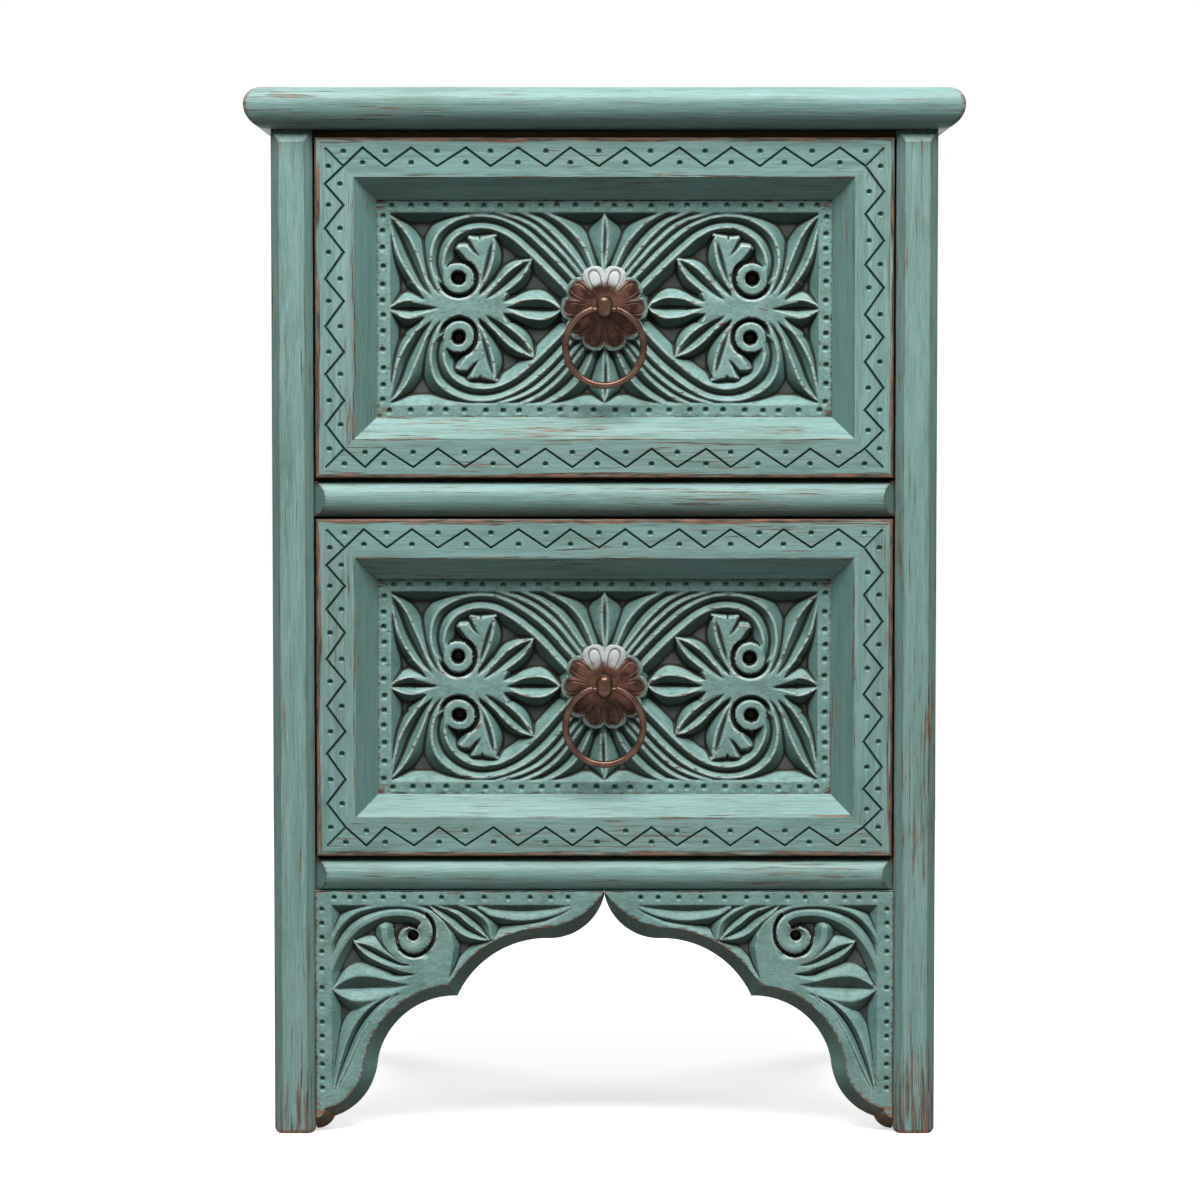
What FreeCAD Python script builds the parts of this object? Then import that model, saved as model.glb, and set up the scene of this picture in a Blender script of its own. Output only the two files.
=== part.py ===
import FreeCAD, Part
import math
import os

# A two-drawer bedside chest of carved, painted hardwood on four posts.
# Millimetres. X to the viewer's right, Y to the back, Z up.
# The origin is on the floor, under the middle of the top board.

V = FreeCAD.Vector
X_AXIS = V(1, 0, 0)
Y_AXIS = V(0, 1, 0)
Z_AXIS = V(0, 0, 1)
os.makedirs("parts", exist_ok=True)

# Top board
TOP_WIDTH = 450.0
TOP_DEPTH = 350.0
TOP_THICKNESS = 26.0
TOP_UPPER_ROUND = 11.0
TOP_BACK_BREAK = 2.0
TOP_FRONT_OVERHANG = 10.0
TOP_SIDE_OVERHANG = 16.0
TOP_REAR_OVERHANG = 4.0

# Posts
POST_WIDTH = 26.0
POST_DEPTH = 30.0
POST_CHAMFER_WIDTH = 5.0
POST_CHAMFER_DEPTH = 4.0
POST_TOP_CHAMFER = 8.0
FOOT_ROUND = 4.0

# Heights of what stands between the posts, from the floor up
ARCH_HEIGHT = 154.2
BOTTOM_RAIL_HEIGHT = 20.0
MIDDLE_RAIL_HEIGHT = 22.0
DRAWER_FRONT_HEIGHT = 212.8
GAP_ABOVE_RAIL = 2.3
GAP_BELOW_RAIL = 1.8
GAP_BELOW_TOP = 5.3

# Front rails with rounded noses
FRONT_RAIL_DEPTH = 45.0
RAIL_NOSE = 7.0
RAIL_END_BEVEL = 7.5
FRONT_TOP_RAIL_HEIGHT = 20.0
FRONT_TOP_RAIL_DEPTH = 25.0

# Side and back frames, with panels held in grooves
FRAME_RAIL_HEIGHT = 40.0
SIDE_RAIL_THICKNESS = 18.0
SIDE_RAIL_SETBACK = 4.0
SIDE_PANEL_THICKNESS = 8.0
SIDE_PANEL_SETBACK = 9.0
BACK_RAIL_THICKNESS = 18.0
BACK_RAIL_SETBACK = 3.0
BACK_PANEL_THICKNESS = 6.0
BACK_PANEL_SETBACK = 10.0
GROOVE_DEPTH = 6.0
GROOVE_END_SPACE = 1.0

# Stub tenons on every rail that meets a post
TENON_LENGTH = 9.0
TENON_THICKNESS = 6.0
TENON_SHOULDER = 8.0
FRONT_TENON_HEIGHT = 9.0
FRONT_TENON_WIDTH = 12.0
FRONT_TENON_SETBACK = 8.0

# Carved apron brackets under the bottom rail
BRACKET_THICKNESS = 18.0
BRACKET_SETBACK = 3.0
BRACKET_SEAM = 0.1
BRACKET_FOOT_CLEARANCE = 1.2
BRACKET_BEVEL_WIDTH = 8.0
BRACKET_BEVEL_DEPTH = 9.0
BLOCK_SIZE = 18.0
BLOCK_LENGTH = 60.0

# Drawer front: four mitred bars round a carved panel
FRONT_SIDE_GAP = 1.5
FRONT_SETBACK = 1.5
FRONT_THICKNESS = 26.0
BAND_WIDTH = 24.5
BEVEL_WIDTH = 13.5
BAR_EDGE_BREAK = 0.8
PANEL_THICKNESS = 12.0
PANEL_LIP = 1.0
PANEL_REBATE = 9.0
PANEL_BORDER = 8.0

# Carving of the panels, drawn for a field of this half width and half height
CARVING_HALF_WIDTH = 135.5
CARVING_HALF_HEIGHT = 60.4
FIELD_SINK = 6.5
CARVING_ROOT = 1.0
CREST_DROP = 0.2
KEEL_SLOPE = 1.05
STRAND_FOOT = 8.0
HUB_SPREAD = 1.6
EYE_DIAMETER = 20.6
EYE_HOLE_DIAMETER = 8.4
EYE_HOLE_DEPTH = 9.0
SEAT_DIAMETER = 48.0
SEAT_FOOT = 6.0

# Cut zigzags and punched dots on the drawer fronts
ZIGZAG_HEIGHT = 11.6
ZIGZAG_WIDTH = 2.0
ZIGZAG_DEPTH = 1.8
ZIGZAG_WANDER = 0.8
ZIGZAGS_ACROSS = 10
ZIGZAGS_UP = 6
FIRST_TOOTH_SHARE = 0.77
DOT_DIAMETER = 4.0
DOT_DEPTH = 2.2
DOT_FROM_POINT = 2.2
BORDER_DOT_DIAMETER = 3.2
BORDER_DOTS_ACROSS = 24
BORDER_DOTS_UP = 11
CUT_CLEARANCE = 0.5

# Drawer boxes
BOX_CLEARANCE = 2.0
BOX_BOARD = 11.0
BOX_FRONT_BOARD = 10.0
BOX_TOP_CLEARANCE = 2.7
BOX_REAR_CLEARANCE = 22.5
BOX_BACK_DROP = 12.0
BOX_BOTTOM_THICKNESS = 5.0
BOX_BOTTOM_RISE = 8.0
BOX_GROOVE = 5.0
SLIDE_CLEARANCE = 0.3
NAIL_RADIUS = 0.9
NAIL_HEAD_RADIUS = 2.2
NAIL_HEAD_HEIGHT = 0.8
NAIL_LENGTH = 22.0

# Runners, guides and kickers
RUNNER_HEIGHT = 18.0
RUNNER_REACH = 20.0
GUIDE_HEIGHT = 12.0
KICKER_HEIGHT = 30.0
KICKER_WIDTH = 24.0
SCREW_RADIUS = 2.0
SCREW_HEAD_RADIUS = 3.8
SCREW_HEAD_HEIGHT = 2.4
SCREW_TIP = 5.0
RUNNER_SCREW_LENGTH = 15.0
RUNNER_SCREW_INSET = 45.0
TOP_SCREW_BITE = 15.0
TOP_SCREW_SPAN = 220.0

# Ring pulls
ROSETTE_DIAMETER = 55.0
ROSETTE_HEIGHT = 7.0
ROSETTE_EDGE = 1.5
ROSETTE_PETALS = 10
ROSETTE_NOTCH = 3.0
KNOB_DIAMETER = 10.4
KNOB_HEIGHT = 15.0
KNOB_RISE = 1.0
KNOB_STAND = 0.4
KNOB_PIN_DROP = 2.0
SHANK_DIAMETER = 6.0
SHANK_CLEARANCE = 0.3
SHANK_END = 2.0
RING_DIAMETER = 53.4
RING_WIRE = 4.4
RING_PIN_DIAMETER = 3.2
RING_PIN_CLEARANCE = 0.05
RING_PIN_HALF = 8.6
NUT_SIDES = 6
NUT_FLATS = 10.0
NUT_THICKNESS = 5.0

# Places worked out from the sizes above
post_front = -TOP_DEPTH / 2 + TOP_FRONT_OVERHANG
post_back = TOP_DEPTH / 2 - TOP_REAR_OVERHANG
front_post_rear = post_front + POST_DEPTH
rear_post_front = post_back - POST_DEPTH
carcass_half = TOP_WIDTH / 2 - TOP_SIDE_OVERHANG
post_inner = carcass_half - POST_WIDTH
bottom_rail_top = ARCH_HEIGHT + BOTTOM_RAIL_HEIGHT
lower_front_bottom = bottom_rail_top + GAP_ABOVE_RAIL
middle_rail_bottom = lower_front_bottom + DRAWER_FRONT_HEIGHT + GAP_BELOW_RAIL
middle_rail_top = middle_rail_bottom + MIDDLE_RAIL_HEIGHT
upper_front_bottom = middle_rail_top + GAP_ABOVE_RAIL
carcass_top = upper_front_bottom + DRAWER_FRONT_HEIGHT + GAP_BELOW_TOP
side_rail_outer = carcass_half - SIDE_RAIL_SETBACK
side_rail_inner = side_rail_outer - SIDE_RAIL_THICKNESS
side_panel_outer = carcass_half - SIDE_PANEL_SETBACK
side_panel_inner = side_panel_outer - SIDE_PANEL_THICKNESS
back_rail_rear = post_back - BACK_RAIL_SETBACK
back_rail_front = back_rail_rear - BACK_RAIL_THICKNESS
back_panel_rear = post_back - BACK_PANEL_SETBACK
back_panel_front = back_panel_rear - BACK_PANEL_THICKNESS
low_rail_top = ARCH_HEIGHT + FRAME_RAIL_HEIGHT
high_rail_bottom = carcass_top - FRAME_RAIL_HEIGHT
front_rail_rear = post_front + FRONT_RAIL_DEPTH
drawer_front = post_front + FRONT_SETBACK
panel_recess = FRONT_THICKNESS - PANEL_THICKNESS
box_front = drawer_front + FRONT_THICKNESS
box_start = box_front + BOX_FRONT_BOARD
front_half = post_inner - FRONT_SIDE_GAP
box_half = post_inner - BOX_CLEARANCE
box_end = back_rail_front - BOX_REAR_CLEARANCE
kicker_bottom = carcass_top - KICKER_HEIGHT
box_height = kicker_bottom - BOX_TOP_CLEARANCE - middle_rail_top - SLIDE_CLEARANCE
top_rail_front = max(front_post_rear, box_front + SLIDE_CLEARANCE)
top_rail_rear = top_rail_front + FRONT_TOP_RAIL_DEPTH


def box(x0, x1, y0, y1, z0, z1):
    return Part.makeBox(x1 - x0, y1 - y0, z1 - z0, V(x0, y0, z0))


def prism(points, sweep):
    return Part.Face(Part.makePolygon(points + [points[0]])).extrude(sweep)


def mirrored(shape):
    return shape.mirror(V(0, 0, 0), X_AXIS)


def write(name, shape):
    shape.exportStep("parts/" + name + ".step")


def write_pair(name, right_shape):
    write(name + "_right", right_shape)
    write(name + "_left", mirrored(right_shape))


# A countersunk wood screw or a flat-headed nail, pointing up from its head
def spike(length, radius, head_radius, head_height, tip):
    outline = [
        V(0, 0, 0),
        V(head_radius, 0, 0),
        V(radius, 0, head_height),
        V(radius, 0, length - tip),
        V(0, 0, length),
    ]
    face = Part.Face(Part.makePolygon(outline + [outline[0]]))
    return face.revolve(V(0, 0, 0), Z_AXIS, 360)


# Top board: a round-nosed section run across, met by one run front to back
lower_round = TOP_THICKNESS - TOP_UPPER_ROUND
top_surface = carcass_top + TOP_THICKNESS
widest = carcass_top + lower_round
half_diagonal = math.sqrt(0.5)


def nose(edge, inward, place):
    low = place(edge + inward * lower_round, carcass_top)
    low_in = inward * lower_round * (1 - half_diagonal)
    low_mid = place(edge + low_in, widest - lower_round * half_diagonal)
    side = place(edge, widest)
    high_in = inward * TOP_UPPER_ROUND * (1 - half_diagonal)
    high_mid = place(edge + high_in, widest + TOP_UPPER_ROUND * half_diagonal)
    high = place(edge + inward * TOP_UPPER_ROUND, top_surface)
    return low, high, [Part.Arc(low, low_mid, side).toShape(), Part.Arc(side, high_mid, high).toShape()]


def across(x, z):
    return V(x, -TOP_DEPTH / 2, z)


def along(y, z):
    return V(-TOP_WIDTH / 2, y, z)


left_low, left_high, left_nose = nose(-TOP_WIDTH / 2, 1, across)
right_low, right_high, right_nose = nose(TOP_WIDTH / 2, -1, across)
top_edges = [Part.makeLine(left_high, right_high), Part.makeLine(right_low, left_low)]
width_section = Part.Face(Part.Wire(Part.__sortEdges__(left_nose + right_nose + top_edges)))
front_low, front_high, front_nose = nose(-TOP_DEPTH / 2, 1, along)
back_points = [
    front_high,
    along(TOP_DEPTH / 2 - TOP_BACK_BREAK, top_surface),
    along(TOP_DEPTH / 2, top_surface - TOP_BACK_BREAK),
    along(TOP_DEPTH / 2, carcass_top),
    front_low,
]
back_edges = Part.makePolygon(back_points).Edges
depth_section = Part.Face(Part.Wire(Part.__sortEdges__(front_nose + back_edges)))
top_panel = width_section.extrude(V(0, TOP_DEPTH, 0)).common(depth_section.extrude(V(TOP_WIDTH, 0, 0)))


# Front posts: chamfered on the two front edges and the top front edge, feet eased
def front_post():
    plan = [
        V(post_inner, front_post_rear, 0),
        V(post_inner, post_front + POST_CHAMFER_DEPTH, 0),
        V(post_inner + POST_CHAMFER_WIDTH, post_front, 0),
        V(carcass_half - POST_CHAMFER_WIDTH, post_front, 0),
        V(carcass_half, post_front + POST_CHAMFER_DEPTH, 0),
        V(carcass_half, front_post_rear, 0),
    ]
    side = [
        V(post_inner, post_front, 0),
        V(post_inner, post_front, carcass_top - POST_TOP_CHAMFER),
        V(post_inner, post_front + POST_CHAMFER_DEPTH, carcass_top),
        V(post_inner, front_post_rear, carcass_top),
        V(post_inner, front_post_rear, 0),
    ]
    post = prism(plan, V(0, 0, carcass_top)).common(prism(side, V(POST_WIDTH, 0, 0)))
    return round_foot(post, post_front, POST_DEPTH)


def round_foot(post, start, depth):
    blank = box(post_inner, carcass_half, start, start + depth, 0, carcass_top)
    corners = []
    for edge in blank.Edges:
        middle = edge.CenterOfMass
        if middle.z < FOOT_ROUND and abs(middle.y - start - depth / 2) < depth / 4:
            corners.append(edge)
    return post.common(blank.makeFillet(FOOT_ROUND, corners))


front_post_right = front_post()
rear_blank = box(post_inner, carcass_half, rear_post_front, post_back, 0, carcass_top)
rear_post_right = round_foot(rear_blank, rear_post_front, POST_DEPTH)

# Side rails and panels between the posts
side_rail_middle = (side_rail_inner + side_rail_outer) / 2
groove_floor = GROOVE_DEPTH - GROOVE_END_SPACE


def side_rail(bottom, top):
    rail = box(side_rail_inner, side_rail_outer, front_post_rear, rear_post_front, bottom, top)
    tenon = box(
        side_rail_middle - TENON_THICKNESS / 2,
        side_rail_middle + TENON_THICKNESS / 2,
        front_post_rear - TENON_LENGTH,
        rear_post_front + TENON_LENGTH,
        bottom + TENON_SHOULDER,
        top - TENON_SHOULDER,
    )
    return rail.fuse(tenon).removeSplitter()


def side_board(reach):
    return box(
        side_panel_inner,
        side_panel_outer,
        front_post_rear - reach,
        rear_post_front + reach,
        low_rail_top - reach,
        high_rail_bottom + reach,
    )


side_panel_right = side_board(groove_floor)
side_groove = side_board(GROOVE_DEPTH)
side_bottom_rail_right = side_rail(ARCH_HEIGHT, low_rail_top).cut(side_groove)
side_top_rail_right = side_rail(high_rail_bottom, carcass_top).cut(side_groove)
for rail in (side_bottom_rail_right, side_top_rail_right):
    front_post_right = front_post_right.cut(rail)
    rear_post_right = rear_post_right.cut(rail)
front_post_right = front_post_right.cut(side_groove)
rear_post_right = rear_post_right.cut(side_groove)

# Back rails and panel between the rear posts
back_rail_middle = (back_rail_front + back_rail_rear) / 2


def back_rail(bottom, top):
    rail = box(-post_inner, post_inner, back_rail_front, back_rail_rear, bottom, top)
    reach = post_inner + TENON_LENGTH
    tenon = box(
        -reach,
        reach,
        back_rail_middle - TENON_THICKNESS / 2,
        back_rail_middle + TENON_THICKNESS / 2,
        bottom + TENON_SHOULDER,
        top - TENON_SHOULDER,
    )
    return rail.fuse(tenon).removeSplitter()


def back_board(reach):
    half = post_inner + reach
    return box(-half, half, back_panel_front, back_panel_rear, low_rail_top - reach, high_rail_bottom + reach)


back_panel = back_board(groove_floor)
back_groove = back_board(GROOVE_DEPTH)
back_bottom_rail = back_rail(ARCH_HEIGHT, low_rail_top).cut(back_groove)
back_top_rail = back_rail(high_rail_bottom, carcass_top).cut(back_groove)
for piece in (back_bottom_rail, back_top_rail, back_groove):
    rear_post_right = rear_post_right.cut(piece)


# Front rails: rounded noses, bevelled where they meet the posts
def nosed_rail(bottom, top):
    middle = (bottom + top) / 2
    start = V(-post_inner, post_front + RAIL_NOSE, bottom)
    tip = V(-post_inner, post_front, middle)
    end = V(-post_inner, post_front + RAIL_NOSE, top)
    rear_top = V(-post_inner, front_rail_rear, top)
    rear_bottom = V(-post_inner, front_rail_rear, bottom)
    back = Part.makePolygon([end, rear_top, rear_bottom, start])
    section = Part.Face(Part.Wire([Part.Arc(start, tip, end).toShape()] + back.Edges))
    plan = [
        V(-post_inner, post_front + RAIL_END_BEVEL, bottom),
        V(-post_inner + RAIL_END_BEVEL, post_front, bottom),
        V(post_inner - RAIL_END_BEVEL, post_front, bottom),
        V(post_inner, post_front + RAIL_END_BEVEL, bottom),
        V(post_inner, front_rail_rear, bottom),
        V(-post_inner, front_rail_rear, bottom),
    ]
    body = section.extrude(V(2 * post_inner, 0, 0)).common(prism(plan, V(0, 0, top - bottom)))
    reach = post_inner + TENON_LENGTH
    tenon_front = post_front + FRONT_TENON_SETBACK
    tenon = box(
        -reach,
        reach,
        tenon_front,
        tenon_front + FRONT_TENON_WIDTH,
        middle - FRONT_TENON_HEIGHT / 2,
        middle + FRONT_TENON_HEIGHT / 2,
    )
    return body.fuse(tenon).removeSplitter()


bottom_rail = nosed_rail(ARCH_HEIGHT, bottom_rail_top)
middle_rail = nosed_rail(middle_rail_bottom, middle_rail_top)
for rail in (bottom_rail, middle_rail):
    front_post_right = front_post_right.cut(rail)
front_top_rail = box(
    -side_rail_inner,
    side_rail_inner,
    top_rail_front,
    top_rail_rear,
    carcass_top - FRONT_TOP_RAIL_HEIGHT,
    carcass_top,
)

# Screws up through the two top rails into the top board
top_screw = spike(
    FRONT_TOP_RAIL_HEIGHT + TOP_SCREW_BITE, SCREW_RADIUS, SCREW_HEAD_RADIUS, SCREW_HEAD_HEIGHT, SCREW_TIP
)
top_screws = []
screw_heads = carcass_top - FRONT_TOP_RAIL_HEIGHT
for x in (-TOP_SCREW_SPAN / 2, TOP_SCREW_SPAN / 2):
    front_screw = top_screw.translated(V(x, (top_rail_front + top_rail_rear) / 2, screw_heads))
    back_screw = top_screw.translated(V(x, back_rail_middle, screw_heads))
    pocket_depth = screw_heads - high_rail_bottom
    pocket = Part.makeCylinder(SCREW_HEAD_RADIUS, pocket_depth, V(x, back_rail_middle, high_rail_bottom))
    front_top_rail = front_top_rail.cut(front_screw)
    back_top_rail = back_top_rail.cut(back_screw).cut(pocket)
    top_panel = top_panel.cut(front_screw).cut(back_screw)
    top_screws += [front_screw, back_screw]

# Runners with guides, and kickers over the upper drawer
screw_flat = spike(RUNNER_SCREW_LENGTH, SCREW_RADIUS, SCREW_HEAD_RADIUS, SCREW_HEAD_HEIGHT, SCREW_TIP)
screw_out = screw_flat.rotated(V(0, 0, 0), Y_AXIS, 90)
runner_screws = []
runner_ends = (front_rail_rear + RUNNER_SCREW_INSET, rear_post_front - RUNNER_SCREW_INSET)


def runner(top, outer):
    ledge = box(post_inner - RUNNER_REACH, outer, front_rail_rear, rear_post_front, top - RUNNER_HEIGHT, top)
    guide = box(post_inner, outer, front_rail_rear, rear_post_front, top, top + GUIDE_HEIGHT)
    return ledge.fuse(guide).removeSplitter()


upper_runner_right = runner(middle_rail_top, side_panel_inner)
lower_runner_right = runner(bottom_rail_top, side_rail_inner)
for y in runner_ends:
    upper_screw = screw_out.translated(V(post_inner, y, middle_rail_top + GUIDE_HEIGHT / 2))
    lower_screw = screw_out.translated(V(post_inner, y, bottom_rail_top + GUIDE_HEIGHT / 2))
    upper_runner_right = upper_runner_right.cut(upper_screw)
    lower_runner_right = lower_runner_right.cut(lower_screw)
    side_panel_right = side_panel_right.cut(upper_screw)
    side_bottom_rail_right = side_bottom_rail_right.cut(lower_screw)
    runner_screws += [upper_screw, lower_screw, mirrored(upper_screw), mirrored(lower_screw)]
kicker_right = box(
    side_rail_inner - KICKER_WIDTH,
    side_rail_inner,
    top_rail_rear,
    rear_post_front,
    kicker_bottom,
    carcass_top,
)

# Apron brackets: a cusped arch, apex at the seam, drawn as shares of the bracket
bracket_front = post_front + BRACKET_SETBACK
bracket_rear = bracket_front + BRACKET_THICKNESS
bracket_inner = BRACKET_SEAM / 2
bracket_span = post_inner - bracket_inner
bracket_drop = ARCH_HEIGHT - BRACKET_FOOT_CLEARANCE
ARCH_ENDS = [(0.0, 0.026), (0.202, 0.205), (0.510, 0.445), (0.789, 0.720), (0.937, 0.949), (1.0, 1.0)]
ARCH_MIDDLES = [(0.058, 0.144), (0.407, 0.290), (0.700, 0.528), (0.831, 0.857), (0.957, 0.982)]


def arch_point(share):
    return V(bracket_inner + share[0] * bracket_span, 0, ARCH_HEIGHT - share[1] * bracket_drop)


# The direction into the wood is to the left of the way along the arch
def into_wood(arc, parameter):
    way = arc.tangent(parameter)[0]
    return V(-way.z, 0, way.x).normalize()


def arch_arcs(ends, middles):
    return [Part.Arc(ends[i], middles[i], ends[i + 1]) for i in range(len(middles))]


def bracket_wire(arcs, y):
    first = arcs[0].StartPoint
    last = arcs[-1].EndPoint
    sides = [last, V(post_inner, 0, ARCH_HEIGHT), V(bracket_inner, 0, ARCH_HEIGHT), first]
    edges = [arc.toShape() for arc in arcs] + Part.makePolygon(sides).Edges
    wire = Part.Wire(edges)
    wire.translate(V(0, y, 0))
    return wire


arch_ends = [arch_point(share) for share in ARCH_ENDS]
arch_middles = [arch_point(share) for share in ARCH_MIDDLES]
outer_arcs = arch_arcs(arch_ends, arch_middles)
inset_ends = [V(bracket_inner, 0, ARCH_HEIGHT - CUT_CLEARANCE)]
inset_middles = []
for i, arc in enumerate(outer_arcs):
    at_middle = arc.parameter(arch_middles[i])
    inset_middles.append(arch_middles[i] + into_wood(arc, at_middle) * BRACKET_BEVEL_WIDTH)
    if i + 1 < len(outer_arcs):
        before = into_wood(arc, arc.LastParameter)
        after = into_wood(outer_arcs[i + 1], outer_arcs[i + 1].FirstParameter)
        corner = (before + after) * (BRACKET_BEVEL_WIDTH / (1 + before.dot(after)))
        inset_ends.append(arch_ends[i + 1] + corner)
inset_ends.append(arch_ends[-1] + V(0, 0, BRACKET_BEVEL_WIDTH))
inset_arcs = arch_arcs(inset_ends, inset_middles)
bevel_rear = bracket_front + BRACKET_BEVEL_DEPTH
face_wire = bracket_wire(inset_arcs, bracket_front)
arch_wire = bracket_wire(outer_arcs, bevel_rear)
bevelled = Part.makeLoft([face_wire, arch_wire], True, True)
straight = Part.Face(arch_wire).extrude(V(0, bracket_rear - bevel_rear, 0))
apron_bracket_right = bevelled.fuse(straight).removeSplitter()

# Glue blocks behind the brackets, under the rail and against the posts
block_rear = bracket_rear + BLOCK_SIZE
rail_block_start = bracket_inner + bracket_span * ARCH_ENDS[1][0]
rail_block = box(
    rail_block_start,
    rail_block_start + BLOCK_LENGTH,
    bracket_rear,
    min(block_rear, front_rail_rear),
    ARCH_HEIGHT - BLOCK_SIZE,
    ARCH_HEIGHT,
)
post_block_top = ARCH_HEIGHT - bracket_drop * ARCH_ENDS[1][1]
post_block = box(
    post_inner - BLOCK_SIZE,
    post_inner,
    bracket_rear,
    block_rear,
    post_block_top - BLOCK_LENGTH,
    post_block_top,
)
bracket_blocks = [rail_block, post_block, mirrored(rail_block), mirrored(post_block)]


# A solid closed by flat faces
def faceted(outlines):
    faces = [Part.Face(Part.makePolygon(outline + [outline[0]])) for outline in outlines]
    solid = Part.Solid(Part.Shell(faces))
    solid.fix(0.001, 0.001, 0.001)
    if solid.Volume < 0:
        solid.reverse()
    return solid


# A V-shaped cut along a line of points on the face y = 0
def v_groove(points):
    spread = ZIGZAG_WIDTH / 2 * (ZIGZAG_DEPTH + CUT_CLEARANCE) / ZIGZAG_DEPTH
    lefts = []
    rights = []
    floors = []
    for i, point in enumerate(points):
        ways = []
        if i > 0:
            ways.append((point - points[i - 1]).normalize())
        if i + 1 < len(points):
            ways.append((points[i + 1] - point).normalize())
        sides = [V(-way.z, 0, way.x) for way in ways]
        corner = (sides[0] + sides[-1]) * (spread / (1 + sides[0].dot(sides[-1])))
        above = point - V(0, CUT_CLEARANCE, 0)
        lefts.append(above + corner)
        rights.append(above - corner)
        floors.append(point + V(0, ZIGZAG_DEPTH, 0))
    outlines = [lefts + rights[::-1]]
    outlines.append([lefts[0], rights[0], floors[0]])
    outlines.append([lefts[-1], rights[-1], floors[-1]])
    for i in range(len(points) - 1):
        outlines.append([lefts[i], lefts[i + 1], floors[i + 1], floors[i]])
        outlines.append([rights[i], rights[i + 1], floors[i + 1], floors[i]])
    return faceted(outlines)


# A punched dot with sloping sides on the face y = 0
def punched_dot(x, z, diameter):
    slope = (diameter / 2) / (DOT_DEPTH + diameter / 4)
    mouth = diameter / 2 + slope * CUT_CLEARANCE
    floor = diameter / 2 - slope * DOT_DEPTH
    return Part.makeCone(mouth, floor, DOT_DEPTH + CUT_CLEARANCE, V(x, -CUT_CLEARANCE, z), Y_AXIS)


# A mitred bar of a drawer front, outer edge along X at z = 0, face at y = 0.
# The carver starts the zigzag with a narrow tooth, at the low or the high X end.
zigzag_outer = (BAND_WIDTH - ZIGZAG_HEIGHT) / 2
zigzag_inner = zigzag_outer + ZIGZAG_HEIGHT
bar_width = BAND_WIDTH + BEVEL_WIDTH


def front_bar(length, zigzags, wander, narrow_low=True):
    half = length / 2
    section = [
        V(-half, BAR_EDGE_BREAK, 0),
        V(-half, 0, BAR_EDGE_BREAK),
        V(-half, 0, BAND_WIDTH),
        V(-half, panel_recess - PANEL_LIP, bar_width),
        V(-half, panel_recess, bar_width),
        V(-half, panel_recess, bar_width - PANEL_REBATE),
        V(-half, FRONT_THICKNESS, bar_width - PANEL_REBATE),
        V(-half, FRONT_THICKNESS, 0),
    ]
    inner_half = half - bar_width
    mitre = [V(-half, 0, 0), V(half, 0, 0), V(inner_half, 0, bar_width), V(-inner_half, 0, bar_width)]
    bar = prism(section, V(length, 0, 0)).common(prism(mitre, V(0, FRONT_THICKNESS, 0)))
    first = zigzag_inner - half
    tooth = -2 * first / (zigzags - 1 + FIRST_TOOTH_SHARE)
    points = []
    dots = []
    for k in range(2 * zigzags + 1):
        inward = k % 2 == 0
        x = first + tooth * k / 2
        if narrow_low:
            x -= tooth * (1 - FIRST_TOOTH_SHARE) * min(k / 2, 1)
        else:
            x -= tooth * (1 - FIRST_TOOTH_SHARE) * max(k / 2 - zigzags + 1, 0)
        if 0 < k < 2 * zigzags:
            x += ZIGZAG_WANDER * math.sin(wander + 2.3 * k)
        points.append(V(x, 0, zigzag_inner if inward else zigzag_outer))
        dot_z = zigzag_outer + DOT_FROM_POINT if inward else zigzag_inner - DOT_FROM_POINT
        dots.append(punched_dot(x, dot_z, DOT_DIAMETER))
    corner = V(zigzag_outer - half, 0, zigzag_outer)
    corner_cuts = [v_groove([corner, points[0]])]
    corner_cuts.append(v_groove([V(-corner.x, 0, corner.z), points[-1]]))
    return bar.cut([v_groove(points)] + dots).cut(corner_cuts)


def turned(shape, angle, x, z):
    return shape.rotated(V(0, 0, 0), Y_AXIS, angle).translated(V(x, drawer_front, z))


# Carved panel board: dotted border, then a sunk field with strands, leaves and scroll
# eyes left standing round a seat for the rosette. They are drawn in the quarter to
# the left of and above the middle, and mirrored into the others.
front_width = 2 * front_half
open_width = front_width - 2 * bar_width
open_height = DRAWER_FRONT_HEIGHT - 2 * bar_width
held = PANEL_REBATE - GROOVE_END_SPACE
shank_radius = SHANK_DIAMETER / 2
shank_hole = shank_radius + SHANK_CLEARANCE
field_x = open_width / 2 - PANEL_BORDER
field_z = open_height / 2 - PANEL_BORDER
root = FIELD_SINK + CARVING_ROOT
OUTER_STRAND = [
    (-103.6, 6.8), (-109.7, 18.1), (-111.6, 28.5), (-109.7, 38.8), (-104.5, 47.3), (-97.0, 53.4), (-87.6, 57.1),
    (-78.2, 58.1), (-68.8, 57.1), (-59.4, 53.7), (-50.0, 48.2), (-31.1, 31.7), (-14.0, 13.0),
]
INNER_STRAND = [
    (-99.5, 9.0), (-103.3, 21.9), (-102.6, 29.4), (-99.8, 36.9), (-94.2, 44.4), (-85.7, 49.3), (-76.3, 50.6),
    (-66.9, 48.7), (-57.5, 43.7), (-38.7, 27.5), (-18.0, 6.0),
]
SHORT_STRANDS = [
    [(-67.9, 60.4), (-54.7, 56.2), (-44.3, 51.0), (-34.9, 43.5), (-10.0, 15.0)],
    [(-53.8, 60.9), (-42.4, 55.7), (-33.0, 48.7), (-8.0, 18.0)],
    [(-38.8, 60.9), (-27.4, 54.8), (-18.9, 47.3), (-12.3, 37.9), (-5.0, 20.0)],
]
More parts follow.
